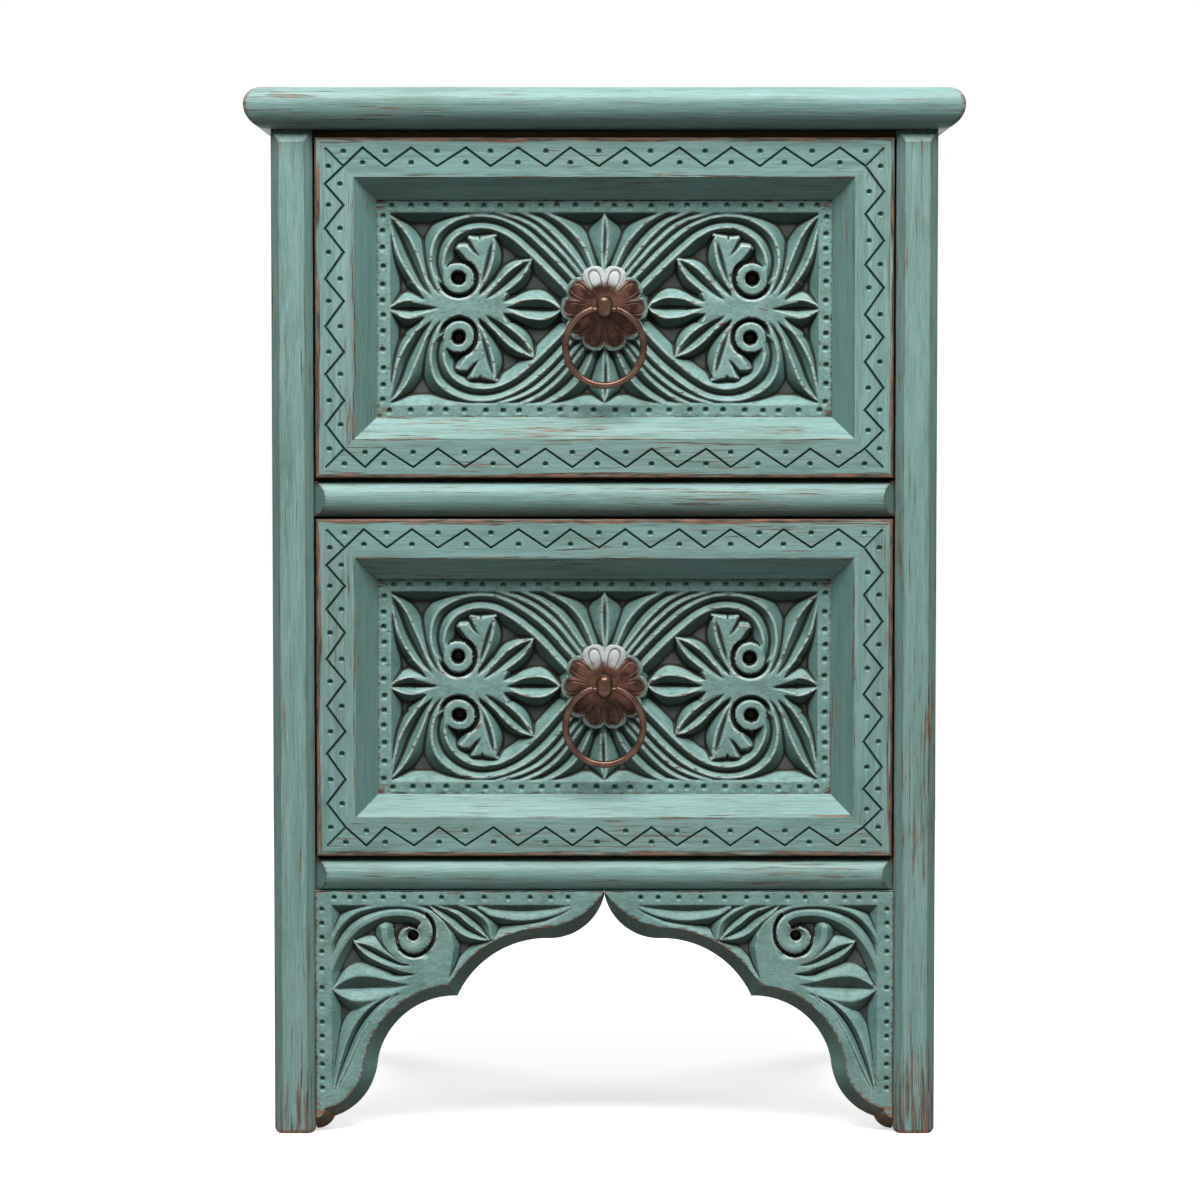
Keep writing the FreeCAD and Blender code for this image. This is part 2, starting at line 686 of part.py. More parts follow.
FAN = [
    (-80.3, 6.0), (-78.9, 16.7), (-75.7, 30.7), (-71.3, 44.7), (-76.6, 43.9), (-78.0, 41.3), (-79.4, 43.6),
    (-84.2, 44.3), (-81.1, 37.5), (-77.7, 31.2), (-82.5, 34.7), (-86.5, 39.1), (-91.0, 39.1), (-92.0, 37.8),
    (-89.0, 34.1), (-82.5, 25.7), (-80.2, 20.0), (-80.3, 15.0), (-82.5, 9.4),
]

# Each leaf has a line from base to tip, the half width between its crests, the widths
# of its left and right sides, where along it is widest, and how wide its ends stay
corner_line = [(-103.5, 4.2), (-108.5, 8.5), (-115.8, 17.6), (-123.8, 32.2), (-129.0, 45.5), (-135.3, 58.6)]
slanting_line = [(-80.5, 3.2), (-68.8, 9.6), (-58.6, 18.8), (-45.4, 30.9)]
upper_line = [(-80.5, 9.5), (-77.0, 19.0), (-73.6, 30.0), (-69.8, 45.0)]
CORNER_LEAF = (corner_line, 5.2, 5.5, 7.4, 0.55, 0.3)
SLANTING_LEAF = (slanting_line, 4.2, 5.0, 5.6, 0.6, 0.3)
UPPER_LEAF = (upper_line, 2.4, 2.0, 6.2, 0.6, 0.3)
OUTWARD_LEAF = ([(-101.5, 0.0), (-136.0, 0.0)], 4.6, 6.2, 6.2, 0.55, 0.3)
INWARD_LEAF = ([(-61.0, 0.0), (-27.4, 0.0)], 6.4, 6.6, 6.6, 0.62, 0.3)
MIDDLE_LEAF = ([(0.0, 22.0), (0.0, 59.5)], 1.7, 9.8, 9.8, 0.62, 0.03)
HUB_CENTRE = (-86.0, 0.0)
HUB_RADII = (20.0, 6.6)
EYE_CENTRE = (-92.4, 18.4)
LEAF_STATIONS = (0.0, 0.15, 0.38, 0.62, 0.85, 1.0)


def drawn(spot):
    return V(spot[0] * field_x / CARVING_HALF_WIDTH, 0, spot[1] * field_z / CARVING_HALF_HEIGHT)


# A long ridge with straight sides
def strand(spots):
    points = [drawn(spot) for spot in spots]
    crests = []
    lefts = []
    rights = []
    for i, point in enumerate(points):
        ways = []
        if i > 0:
            ways.append((point - points[i - 1]).normalize())
        if i + 1 < len(points):
            ways.append((points[i + 1] - point).normalize())
        sides = [V(-way.z, 0, way.x) for way in ways]
        corner = (sides[0] + sides[-1]) * (STRAND_FOOT / (1 + sides[0].dot(sides[-1])))
        crests.append(point + V(0, CREST_DROP, 0))
        lefts.append(point + V(0, root, 0) + corner)
        rights.append(point + V(0, root, 0) - corner)
    outlines = [lefts + rights[::-1]]
    outlines.append([lefts[0], rights[0], crests[0]])
    outlines.append([lefts[-1], rights[-1], crests[-1]])
    for i in range(len(points) - 1):
        outlines.append([lefts[i], lefts[i + 1], crests[i + 1], crests[i]])
        outlines.append([rights[i], rights[i + 1], crests[i + 1], crests[i]])
    return faceted(outlines)


def spans_area(corners):
    return (corners[1] - corners[0]).cross(corners[2] - corners[0]).Length > 1e-6


# A leaf with two crests, a valley between them and sloping sides
def leaf(spots, crest, left, right, peak, tip):
    points = [drawn(spot) for spot in spots]
    line = Part.makeLine(points[0], points[-1])
    if len(points) > 2:
        curve = Part.BSplineCurve()
        curve.interpolate(points)
        line = curve.toShape()
    rows = []
    for share in LEAF_STATIONS:
        parameter = line.getParameterByLength(share * line.Length)
        middle = line.valueAt(parameter)
        way = line.tangentAt(parameter)
        side = V(-way.z, 0, way.x)
        swell = math.sin(min(share / peak, (1 - share) / (1 - peak)) * math.pi / 2) ** 0.8
        ridge = crest * swell
        foot = tip + (1 - tip) * swell
        rows.append([
            middle + side * (ridge + left * foot) + V(0, root, 0),
            middle + side * ridge + V(0, CREST_DROP, 0),
            middle + V(0, CREST_DROP + KEEL_SLOPE * ridge, 0),
            middle - side * ridge + V(0, CREST_DROP, 0),
            middle - side * (ridge + right * foot) + V(0, root, 0),
        ])
    outlines = [[row[0] for row in rows] + [row[4] for row in rows[::-1]]]
    outlines += [[row[0], row[2], row[4]] for row in (rows[0], rows[-1])]
    for near, far in zip(rows, rows[1:]):
        for k in range(4):
            triangles = [[near[k], near[k + 1], far[k + 1]], [near[k], far[k + 1], far[k]]]
            outlines += [corners for corners in triangles if spans_area(corners)]
    return faceted(outlines)


# The flat land between the scrolls, widening towards its foot
def hub():
    wires = []
    for spread, depth in ((1.0, CREST_DROP), (HUB_SPREAD, root)):
        wide = HUB_RADII[0] * spread * field_x / CARVING_HALF_WIDTH
        high = HUB_RADII[1] * spread * field_z / CARVING_HALF_HEIGHT
        corners = []
        for k in range(16):
            angle = math.pi * k / 8
            corners.append(drawn(HUB_CENTRE) + V(wide * math.cos(angle), depth, high * math.sin(angle)))
        wires.append(Part.makePolygon(corners + [corners[0]]))
    return Part.makeLoft(wires, True, True)


def sunk_field():
    wires = []
    for depth in (-CUT_CLEARANCE, FIELD_SINK):
        x = field_x - depth
        z = field_z - depth
        corners = [V(-x, depth, -z), V(x, depth, -z), V(x, depth, z), V(-x, depth, z)]
        wires.append(Part.makePolygon(corners + [corners[0]]))
    return Part.makeLoft(wires, True, True)


def upside_down(shape):
    return shape.mirror(V(0, 0, 0), Z_AXIS)


def carved_panel():
    half_x = open_width / 2
    half_z = open_height / 2
    board = box(-half_x - held, half_x + held, 0, PANEL_THICKNESS, -half_z - held, half_z + held)
    line_x = half_x - PANEL_BORDER / 2
    line_z = half_z - PANEL_BORDER / 2
    dots = []
    for k in range(BORDER_DOTS_ACROSS):
        x = -line_x + 2 * line_x * k / (BORDER_DOTS_ACROSS - 1)
        dots += [punched_dot(x, line_z, BORDER_DOT_DIAMETER), punched_dot(x, -line_z, BORDER_DOT_DIAMETER)]
    for k in range(1, BORDER_DOTS_UP + 1):
        z = -line_z + 2 * line_z * k / (BORDER_DOTS_UP + 1)
        dots += [punched_dot(line_x, z, BORDER_DOT_DIAMETER), punched_dot(-line_x, z, BORDER_DOT_DIAMETER)]
    eye_spot = drawn(EYE_CENTRE) + V(0, CREST_DROP, 0)
    eye_hole = Part.makeCylinder(EYE_HOLE_DIAMETER / 2, EYE_HOLE_DEPTH, drawn(EYE_CENTRE), Y_AXIS)
    quarter = [strand(spots) for spots in [OUTER_STRAND, INNER_STRAND] + SHORT_STRANDS]
    quarter += [leaf(*shape) for shape in (CORNER_LEAF, SLANTING_LEAF, UPPER_LEAF)]
    quarter.append(prism([drawn(spot) + V(0, CREST_DROP, 0) for spot in FAN], V(0, root, 0)))
    quarter.append(Part.makeCylinder(EYE_DIAMETER / 2, root, eye_spot, Y_AXIS))
    left_half = quarter + [upside_down(shape) for shape in quarter]
    left_half += [leaf(*OUTWARD_LEAF), leaf(*INWARD_LEAF), hub()]
    middle_leaf = leaf(*MIDDLE_LEAF)
    seat_radius = SEAT_DIAMETER / 2
    seat = Part.makeCone(seat_radius, seat_radius + SEAT_FOOT, root, V(0, 0, 0), Y_AXIS)
    lands = left_half + [mirrored(shape) for shape in left_half]
    lands += [middle_leaf, upside_down(middle_leaf), seat]
    bore = Part.makeCylinder(shank_hole, PANEL_THICKNESS, V(0, 0, 0), Y_AXIS)
    holes = [eye_hole, upside_down(eye_hole)]
    holes += [mirrored(hole) for hole in holes]
    return board.cut([sunk_field()] + dots).fuse(lands).removeSplitter().cut(holes + [bore])


# Ring pull: domed petal rosette, knob with a shank, ring on a pin, nut inside
knob_radius = KNOB_DIAMETER / 2
knob_depth = -ROSETTE_HEIGHT - KNOB_STAND - knob_radius
pin_height = KNOB_RISE - KNOB_PIN_DROP
ring_radius = (RING_DIAMETER - RING_WIRE) / 2
shank_reach = PANEL_THICKNESS + BOX_FRONT_BOARD + NUT_THICKNESS + SHANK_END


def rosette():
    rim = ROSETTE_DIAMETER / 2
    ball = (rim ** 2 + (ROSETTE_HEIGHT - ROSETTE_EDGE) ** 2) / (2 * (ROSETTE_HEIGHT - ROSETTE_EDGE))
    ball_centre = ROSETTE_HEIGHT - ball

    def dome(r):
        return V(r, -ball_centre - math.sqrt(ball ** 2 - r ** 2), 0)

    edges = [
        Part.makeLine(V(shank_hole, 0, 0), V(rim, 0, 0)),
        Part.makeLine(V(rim, 0, 0), dome(rim)),
        Part.Arc(dome(rim), dome(rim / 2), dome(shank_hole)).toShape(),
        Part.makeLine(dome(shank_hole), V(shank_hole, 0, 0)),
    ]
    plate = Part.Face(Part.Wire(edges)).revolve(V(0, 0, 0), Y_AXIS, 360)
    notches = []
    for k in range(ROSETTE_PETALS):
        angle = 2 * math.pi * k / ROSETTE_PETALS
        centre = V(rim * math.sin(angle), -ROSETTE_HEIGHT, rim * math.cos(angle))
        notches.append(Part.makeCylinder(ROSETTE_NOTCH, 2 * ROSETTE_HEIGHT, centre, Y_AXIS))
    return plate.cut(notches)


def knob():
    straight = KNOB_HEIGHT - KNOB_DIAMETER
    low = V(0, knob_depth, KNOB_RISE - straight / 2)
    high = V(0, knob_depth, KNOB_RISE + straight / 2)
    body = Part.makeCylinder(knob_radius, straight, low, Z_AXIS)
    body = body.fuse([Part.makeSphere(knob_radius, low), Part.makeSphere(knob_radius, high)])
    shank = Part.makeCylinder(shank_radius, shank_reach - knob_depth, V(0, knob_depth, 0), Y_AXIS)
    pin_hole = RING_PIN_DIAMETER / 2 + RING_PIN_CLEARANCE
    bore = Part.makeCylinder(pin_hole, 2 * KNOB_DIAMETER, V(-KNOB_DIAMETER, knob_depth, pin_height), X_AXIS)
    return body.fuse(shank).removeSplitter().cut(bore)


def ring():
    drop = math.sqrt(ring_radius ** 2 - RING_PIN_HALF ** 2)
    centre = V(0, knob_depth, pin_height - drop)
    cut_angle = math.degrees(math.asin(RING_PIN_HALF / ring_radius))
    start = V(RING_PIN_HALF, knob_depth, pin_height)
    end = V(-RING_PIN_HALF, knob_depth, pin_height)
    way = V(drop, 0, -RING_PIN_HALF)
    wire_face = Part.Face(Part.Wire(Part.makeCircle(RING_WIRE / 2, start, way)))
    loop = wire_face.revolve(centre, Y_AXIS, 360 - 2 * cut_angle)
    pin = Part.makeCylinder(RING_PIN_DIAMETER / 2, 2 * RING_PIN_HALF, end, X_AXIS)
    elbows = [Part.makeSphere(RING_WIRE / 2, start), Part.makeSphere(RING_WIRE / 2, end)]
    return loop.fuse(elbows + [pin]).removeSplitter()


def nut():
    corner = NUT_FLATS / 2 / math.cos(math.pi / NUT_SIDES)
    points = []
    for k in range(NUT_SIDES):
        angle = 2 * math.pi * k / NUT_SIDES
        points.append(V(corner * math.cos(angle), 0, corner * math.sin(angle)))
    blank = prism(points, V(0, NUT_THICKNESS, 0))
    return blank.cut(Part.makeCylinder(shank_radius, NUT_THICKNESS, V(0, 0, 0), Y_AXIS))


# One drawer, named and placed by its front's bottom edge and its rail's top
def drawer(name, front_bottom, rail_top):
    middle = front_bottom + DRAWER_FRONT_HEIGHT / 2
    front_top = front_bottom + DRAWER_FRONT_HEIGHT
    wander = front_bottom
    bottom_bar = front_bar(front_width, ZIGZAGS_ACROSS, wander)
    top_bar = front_bar(front_width, ZIGZAGS_ACROSS, wander + 1, narrow_low=False)
    left_bar = front_bar(DRAWER_FRONT_HEIGHT, ZIGZAGS_UP, wander + 2)
    right_bar = front_bar(DRAWER_FRONT_HEIGHT, ZIGZAGS_UP, wander + 3)
    write(name + "_front_bottom_bar", turned(bottom_bar, 0, 0, front_bottom))
    write(name + "_front_top_bar", turned(top_bar, 180, 0, front_top))
    write(name + "_front_left_bar", turned(left_bar, 90, -front_half, middle))
    write(name + "_front_right_bar", turned(right_bar, -90, front_half, middle))
    panel_place = V(0, drawer_front + panel_recess, middle)
    write(name + "_carved_panel", panel_board.translated(panel_place))
    write(name + "_pull_rosette", rosette().translated(panel_place))
    write(name + "_pull_knob", knob().translated(panel_place))
    write(name + "_pull_ring", ring().translated(panel_place))
    write(name + "_pull_nut", nut().translated(V(0, box_start, middle)))

    side_bottom = rail_top + SLIDE_CLEARANCE
    side_top = side_bottom + box_height
    inner = box_half - BOX_BOARD
    floor = side_bottom + BOX_BOTTOM_RISE
    floor_top = floor + BOX_BOTTOM_THICKNESS
    groove_half = inner + BOX_GROOVE
    bottom = box(-groove_half, groove_half, box_start - BOX_GROOVE, box_end, floor, floor_top)
    front_board = box(-box_half, box_half, box_front, box_start, side_bottom, side_top).cut(bottom)
    bore = Part.makeCylinder(shank_hole, BOX_FRONT_BOARD, V(0, box_front, middle), Y_AXIS)
    side = box(inner, box_half, box_start, box_end, side_bottom, side_top).cut(bottom)
    back = box(-inner, inner, box_end - BOX_BOARD, box_end, floor_top, side_top - BOX_BACK_DROP)
    nails = []
    for x in (-inner / 2, 0, inner / 2):
        nail = spike(NAIL_LENGTH, NAIL_RADIUS, NAIL_HEAD_RADIUS, NAIL_HEAD_HEIGHT, NAIL_RADIUS)
        nails.append(nail.translated(V(x, box_end - BOX_BOARD / 2, floor)))
    write(name + "_box_front", front_board.cut(bore))
    write(name + "_box_back", back.cut(nails))
    write(name + "_box_bottom", bottom.cut(nails))
    write(name + "_box_nails", Part.makeCompound(nails))
    write_pair(name + "_box_side", side)


panel_board = carved_panel()
drawer("upper_drawer", upper_front_bottom, middle_rail_top)
drawer("lower_drawer", lower_front_bottom, bottom_rail_top)

write("top_panel", top_panel)
write_pair("front_post", front_post_right)
write_pair("rear_post", rear_post_right)
write_pair("side_panel", side_panel_right)
write_pair("side_top_rail", side_top_rail_right)
write_pair("side_bottom_rail", side_bottom_rail_right)
write("back_panel", back_panel)
write("back_top_rail", back_top_rail)
write("back_bottom_rail", back_bottom_rail)
write("front_top_rail", front_top_rail)
write("middle_rail", middle_rail)
write("bottom_rail", bottom_rail)
write_pair("apron_bracket", apron_bracket_right)
write("bracket_blocks", Part.makeCompound(bracket_blocks))
write_pair("upper_runner", upper_runner_right)
write_pair("lower_runner", lower_runner_right)
write_pair("kicker", kicker_right)
write("top_screws", Part.makeCompound(top_screws))
write("runner_screws", Part.makeCompound(runner_screws))
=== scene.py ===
import math

import bpy
import numpy as np
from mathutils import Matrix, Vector, geometry


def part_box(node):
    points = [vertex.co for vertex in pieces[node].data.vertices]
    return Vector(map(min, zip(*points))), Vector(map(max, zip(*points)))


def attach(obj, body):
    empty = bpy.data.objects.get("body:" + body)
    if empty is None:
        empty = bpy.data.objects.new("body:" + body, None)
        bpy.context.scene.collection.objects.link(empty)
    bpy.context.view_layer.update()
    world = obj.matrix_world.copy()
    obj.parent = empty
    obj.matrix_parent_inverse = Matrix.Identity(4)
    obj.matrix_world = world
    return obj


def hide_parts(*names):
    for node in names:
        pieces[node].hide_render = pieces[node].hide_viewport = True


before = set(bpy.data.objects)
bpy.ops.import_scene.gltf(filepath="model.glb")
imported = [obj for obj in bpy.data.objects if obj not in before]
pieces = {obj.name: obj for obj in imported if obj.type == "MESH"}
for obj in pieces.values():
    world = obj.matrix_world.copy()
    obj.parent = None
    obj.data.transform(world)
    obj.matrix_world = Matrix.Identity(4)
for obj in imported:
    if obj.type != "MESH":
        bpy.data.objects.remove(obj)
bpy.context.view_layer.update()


class Finish:
    """A surface finish put together from shader nodes."""

    def __init__(self, name):
        self.material = bpy.data.materials.new(name)
        self.material.use_nodes = True
        self.tree = self.material.node_tree
        self.surface = self.tree.nodes["Principled BSDF"]

    def put(self, socket, value):
        if isinstance(value, bpy.types.NodeSocket):
            self.tree.links.new(value, socket)
        else:
            socket.default_value = value

    def node(self, kind, inputs, **settings):
        made = self.tree.nodes.new(kind)
        for name, value in settings.items():
            setattr(made, name, value)
        for name, value in inputs.items():
            self.put(made.inputs[name], value)
        return made

    def maths(self, operation, first, second):
        return self.node("ShaderNodeMath", {0: first, 1: second}, operation=operation).outputs[0]

    def ease(self, value, low, high, start=0.0, end=1.0):
        inputs = {"Value": value, "From Min": low, "From Max": high, "To Min": start, "To Max": end}
        return self.node("ShaderNodeMapRange", inputs, interpolation_type="SMOOTHSTEP").outputs[0]

    def mix(self, share, first, second):
        return self.node("ShaderNodeMix", {0: share, 6: first, 7: second}, data_type="RGBA").outputs[2]

    def carried(self, name):
        return self.node("ShaderNodeAttribute", {}, attribute_name=name).outputs["Fac"]

    def place(self):
        return self.node("ShaderNodeTexCoord", {}).outputs["Object"]

    def noise(self, scales, detail=3.0, roughness=0.55):
        shift = self.node("ShaderNodeObjectInfo", {}).outputs["Random"]
        moved = self.node("ShaderNodeVectorMath", {0: self.place(), 1: shift}, operation="ADD")
        stretched = self.node("ShaderNodeVectorMath", {0: moved.outputs[0], 1: scales}, operation="MULTIPLY")
        inputs = {"Vector": stretched.outputs[0], "Scale": 1.0, "Detail": detail, "Roughness": roughness}
        return self.node("ShaderNodeTexNoise", inputs).outputs["Fac"]

    def grain(self, axis, along, across, detail=3.0, roughness=0.55):
        scales = [across, across, across]
        scales["XYZ".index(axis)] = along
        return self.noise(scales, detail, roughness)

    def bump(self, height, distance, strength):
        inputs = {"Height": height, "Distance": distance, "Strength": strength}
        self.put(self.surface.inputs["Normal"], self.node("ShaderNodeBump", inputs).outputs[0])

    def looks(self, colour, roughness, sheen=0.2):
        self.put(self.surface.inputs["Base Color"], colour)
        self.put(self.surface.inputs["Roughness"], roughness)
        self.put(self.surface.inputs["Specular IOR Level"], sheen)


def arrises(paint):
    """How near a point is to an outer edge of its own piece."""
    inputs = {"Distance": 0.003}
    solid = paint.node("ShaderNodeAmbientOcclusion", inputs, inside=True, only_local=True, samples=6)
    return paint.maths("MULTIPLY", paint.maths("SUBTRACT", 1.0, solid.outputs["AO"]), 1.25)


# How fine the brush marks on a flat board are, along and across the brush.
BOARD_MARKS = {
    "streaks": (14.0, 480.0),
    "fibres": (70.0, 1900.0),
    "rubs": (22.0, 620.0),
    "mottle": (11.0, 120.0),
}
BOARD_SHEEN = 0.2
DEEP_TEAL = (0.154, 0.274, 0.257, 1)
LIGHT_TEAL = (0.211, 0.354, 0.335, 1)
CLOUDED_TEAL = (0.204, 0.304, 0.278, 1)
GREENED_TEAL = (0.105, 0.190, 0.155, 1)
CHALKY_TEAL = (0.290, 0.400, 0.385, 1)
PALE_FIBRE = (0.34, 0.47, 0.45, 1)
DARK_FIBRE = (0.080, 0.122, 0.098, 1)
# Painted shade for faces that slant sideways.
SIDE_SHADE = (0.055, 0.135, 0.118, 1)
DARK_BROWN = (0.030, 0.015, 0.010, 1)
RED_BROWN = (0.225, 0.092, 0.050, 1)


class TealCoat(Finish):
    """Teal paint brushed along one axis over brown wood."""

    def __init__(self, name, axis, marks):
        super().__init__(name)
        self.streaks = self.grain(axis, *marks["streaks"], 4.0, 0.6)
        self.fibres = self.grain(axis, *marks["fibres"], 2.0)
        self.clouds = self.grain(axis, 7.0, 26.0, 4.0)
        self.rubs = self.grain(axis, *marks["rubs"], 5.0, 0.65)
        self.flecks = self.grain(axis, 80.0, 700.0, 4.0, 0.6)
        self.mottle = self.grain(axis, *marks["mottle"], 5.0, 0.65)
        self.above_floor = self.node("ShaderNodeSeparateXYZ", {0: self.place()}).outputs["Z"]
        normal = self.node("ShaderNodeNewGeometry", {}).outputs["Normal"]
        self.facing = self.node("ShaderNodeSeparateXYZ", {0: normal}).outputs
        self.teal = self.brushed()
        self.brown = self.mix(self.ease(self.flecks, 0.36, 0.64), DARK_BROWN, RED_BROWN)

    def brushed(self):
        """The colour of the paint where it is whole, with painted shade on faces that slant sideways."""
        teal = self.mix(self.ease(self.streaks, 0.30, 0.70), DEEP_TEAL, LIGHT_TEAL)
        teal = self.mix(self.ease(self.clouds, 0.38, 0.70, 0.0, 0.6), teal, CLOUDED_TEAL)
        teal = self.mix(self.ease(self.mottle, 0.44, 0.70, 0.0, 0.6), teal, GREENED_TEAL)
        teal = self.mix(self.ease(self.mottle, 0.46, 0.26, 0.0, 0.35), teal, CHALKY_TEAL)
        teal = self.mix(self.ease(self.fibres, 0.54, 0.76, 0.0, 0.5), teal, PALE_FIBRE)
        teal = self.mix(self.ease(self.fibres, 0.45, 0.25, 0.0, 0.55), teal, DARK_FIBRE)
        # Faces that turn sideways are darkened with painted shade.
        sideways = self.maths("ABSOLUTE", self.facing["X"], 0.0)
        side_shade = self.ease(sideways, 0.35, 0.70, 0.0, 0.55)
        side_shade = self.maths("MULTIPLY", side_shade, self.ease(sideways, 0.98, 0.90))
        return self.mix(side_shade, teal, SIDE_SHADE)

    def worn_through(self, edge, foot, begins, ends):
        """How far the paint is rubbed off, from the nearness of an edge and of the floor."""
        worn = self.maths("ADD", edge, self.maths("ADD", self.rubs, foot))
        return self.ease(worn, begins, ends, 0.0, 0.9)

    def finished(self, colour, bare, sheen):
        gloss = self.ease(self.maths("ADD", bare, self.streaks), 0.3, 1.3, 0.34, 0.60)
        self.looks(colour, gloss, sheen)
        relief = self.maths("ADD", self.streaks, self.maths("MULTIPLY", self.fibres, 0.6))
        relief = self.maths("SUBTRACT", relief, self.maths("MULTIPLY", bare, 0.6))
        self.bump(relief, 0.0005, 0.45)
        return self.material


def worn_teal(name, axis, rubbed=arrises, shaded=None):
    """A painted board, worn through at its edges, near the floor and in long scratches."""
    paint = TealCoat(name, axis, BOARD_MARKS)
    foot = paint.ease(paint.above_floor, 0.09, 0.0, 0.0, 0.14)
    bare = paint.worn_through(rubbed(paint), foot, 0.66, 0.80)
    patches = paint.maths("ADD", paint.maths("MULTIPLY", paint.clouds, 0.55), paint.rubs)
    scratches = paint.ease(paint.maths("ADD", patches, foot), 0.86, 0.97, 0.0, 0.8)
    bare = paint.maths("MAXIMUM", bare, scratches)
    colour = paint.mix(bare, paint.teal, paint.brown)
    if shaded:
        colour = shaded(paint, colour)
    return paint.finished(colour, bare, BOARD_SHEEN)


def cover(material, names):
    for name in names:
        pieces[name].data.materials.clear()
        pieces[name].data.materials.append(material)


def both_sides(name):
    return [name + "_left", name + "_right"]


teal_upright = worn_teal("teal_upright", "Z")
cover(teal_upright, both_sides("front_post") + both_sides("rear_post"))

# Side and back frames
# Plain rails tenoned between the posts hold thin boards in grooves on the two sides
# and the back. They are painted like the posts, each brushed along its own length.
teal_across = worn_teal("teal_across", "X")
teal_deep = worn_teal("teal_deep", "Y")
cover(teal_upright, both_sides("side_panel") + ["back_panel"])
cover(teal_deep, both_sides("side_top_rail") + both_sides("side_bottom_rail"))
cover(teal_across, ["back_top_rail", "back_bottom_rail"])

# Front rails
# Two round-nosed rails show between and under the drawers, bevelled at the posts.
# The top rail lies behind the upper drawer's front and is left as bare wood.


def planed_wood(name, axis):
    """Hardwood as it left the plane, with darker lines along the grain."""
    wood = Finish(name)
    lines = wood.grain(axis, 6.0, 240.0, 4.0, 0.6)
    rings = wood.grain(axis, 2.5, 45.0, 2.0)
    colour = wood.mix(wood.ease(lines, 0.35, 0.68), (0.32, 0.19, 0.10, 1), (0.46, 0.31, 0.18, 1))
    colour = wood.mix(wood.ease(rings, 0.45, 0.66, 0.0, 0.6), colour, (0.25, 0.14, 0.07, 1))
    wood.looks(colour, wood.ease(lines, 0.3, 0.7, 0.55, 0.75))
    wood.bump(lines, 0.0004, 0.4)
    return wood.material


wood_across = planed_wood("wood_across", "X")
cover(teal_across, ["middle_rail", "bottom_rail"])
cover(wood_across, ["front_top_rail"])

# Top board
# One wide board with a round nose on its front and sides, screwed down from below.
# It is brushed from side to side and worn along the nose.
cover(teal_across, ["top_panel"])

# Apron brackets
# Two boards under the bottom rail meet at a seam in a cusped, bevelled arch. Scrolls
# and leaves are cut into the faces inside a plain rim, with punched dots along the
# rail and the post. All distances are in millimetres.
MM = 0.001


def smooth_line(points, count=90):
    """A curve through the points, as many short straight steps."""
    points = np.array(points, float)
    ends = np.vstack([2 * points[0] - points[1], points, 2 * points[-1] - points[-2]])
    spans = len(points) - 1
    share = np.linspace(0, 1, max(4, count // spans), endpoint=False)[:, None]
    runs = []
    for i in range(spans):
        a, b, c, d = ends[i:i + 4]
        bend = 2 * a - 5 * b + 4 * c - d
        twist = 3 * b - a - 3 * c + d
        runs.append(0.5 * (2 * b + (c - a) * share + bend * share ** 2 + twist * share ** 3))
    return np.vstack(runs + [points[-1:]])


def off_line(line, x, z):
    """How far each point is from the line, how far along it, and on which side."""
    ways = np.diff(line, axis=0)
    lengths = np.hypot(ways[:, 0], ways[:, 1])
    starts = np.concatenate([[0], np.cumsum(lengths)])
    away = np.full(x.shape, 1e9)
    share = np.zeros(x.shape)
    side = np.zeros(x.shape)
    for (ax, az), (wx, wz), length, start in zip(line, ways, lengths, starts):
        u = np.clip(((x - ax) * wx + (z - az) * wz) / length ** 2, 0, 1)
        dx = x - ax - u * wx
        dz = z - az - u * wz
        reach = np.hypot(dx, dz)
        closer = reach < away
        away = np.where(closer, reach, away)
        share = np.where(closer, (start + u * length) / starts[-1], share)
        side = np.where(closer, np.sign(wx * dz - wz * dx), side)
    return away, share, side


def leaf(x, z, points, crests, flanks, peak, deep, tip=0.3, slope=1.05, waist=0.8):
    """A leaf from base to tip: two crests with a valley between, and sloping flanks, given left and right."""
    away, share, side = off_line(smooth_line(points), x, z)
    rise = np.minimum(share / peak, (1 - share) / (1 - peak))
    swell = np.sin(np.clip(rise, 0, 1) * math.pi / 2) ** np.where(share < peak, waist, 0.8)
    ridge = np.where(side > 0, crests[0], crests[1]) * swell
    width = np.where(side > 0, flanks[0], flanks[1]) * (tip + (1 - tip) * swell)
    outer = np.clip(away - ridge, 0, None) / width
    height = np.where(away < ridge, slope * (away - ridge), -deep * outer ** 1.25)
    return np.where(outer > 1.25, -99, height)


def strand(x, z, points, slopes=(1.0, 1.0), crown=0.5, reach=9.0):
    """A long ridge whose sides slope as given to its left and right."""
    away, share, side = off_line(smooth_line(points), x, z)
    slope = np.where(side > 0, slopes[0], slopes[1])
    return np.where(away > reach, -99, -slope * np.clip(away - crown, 0, None))


def within(x, z, outline):
    inside = np.zeros(x.shape, bool)
    for (x0, z0), (x1, z1) in zip(outline, outline[1:] + outline[:1]):
        crosses = (z0 > z) != (z1 > z)
        inside ^= crosses & (x < (x1 - x0) * (z - z0) / (z1 - z0 + 1e-12) + x0)
    return inside


def flat_land(x, z, outline, slope, level):
    """A flat part left standing at a level, with sloping sides."""
    away = off_line(np.array(outline + outline[:1]), x, z)[0]
    return np.where(within(x, z, outline), level, level - slope * away)


def punched(x, z, dots, radius, depth):
    """Cone-shaped dots knocked in with a punch."""
    cut = np.zeros(x.shape)
    for dot_x, dot_z in dots:
        near = np.hypot(x - dot_x, z - dot_z)
        cut = np.maximum(cut, np.clip(1.3 * (1 - near / radius), 0, 1) * depth)
    return cut


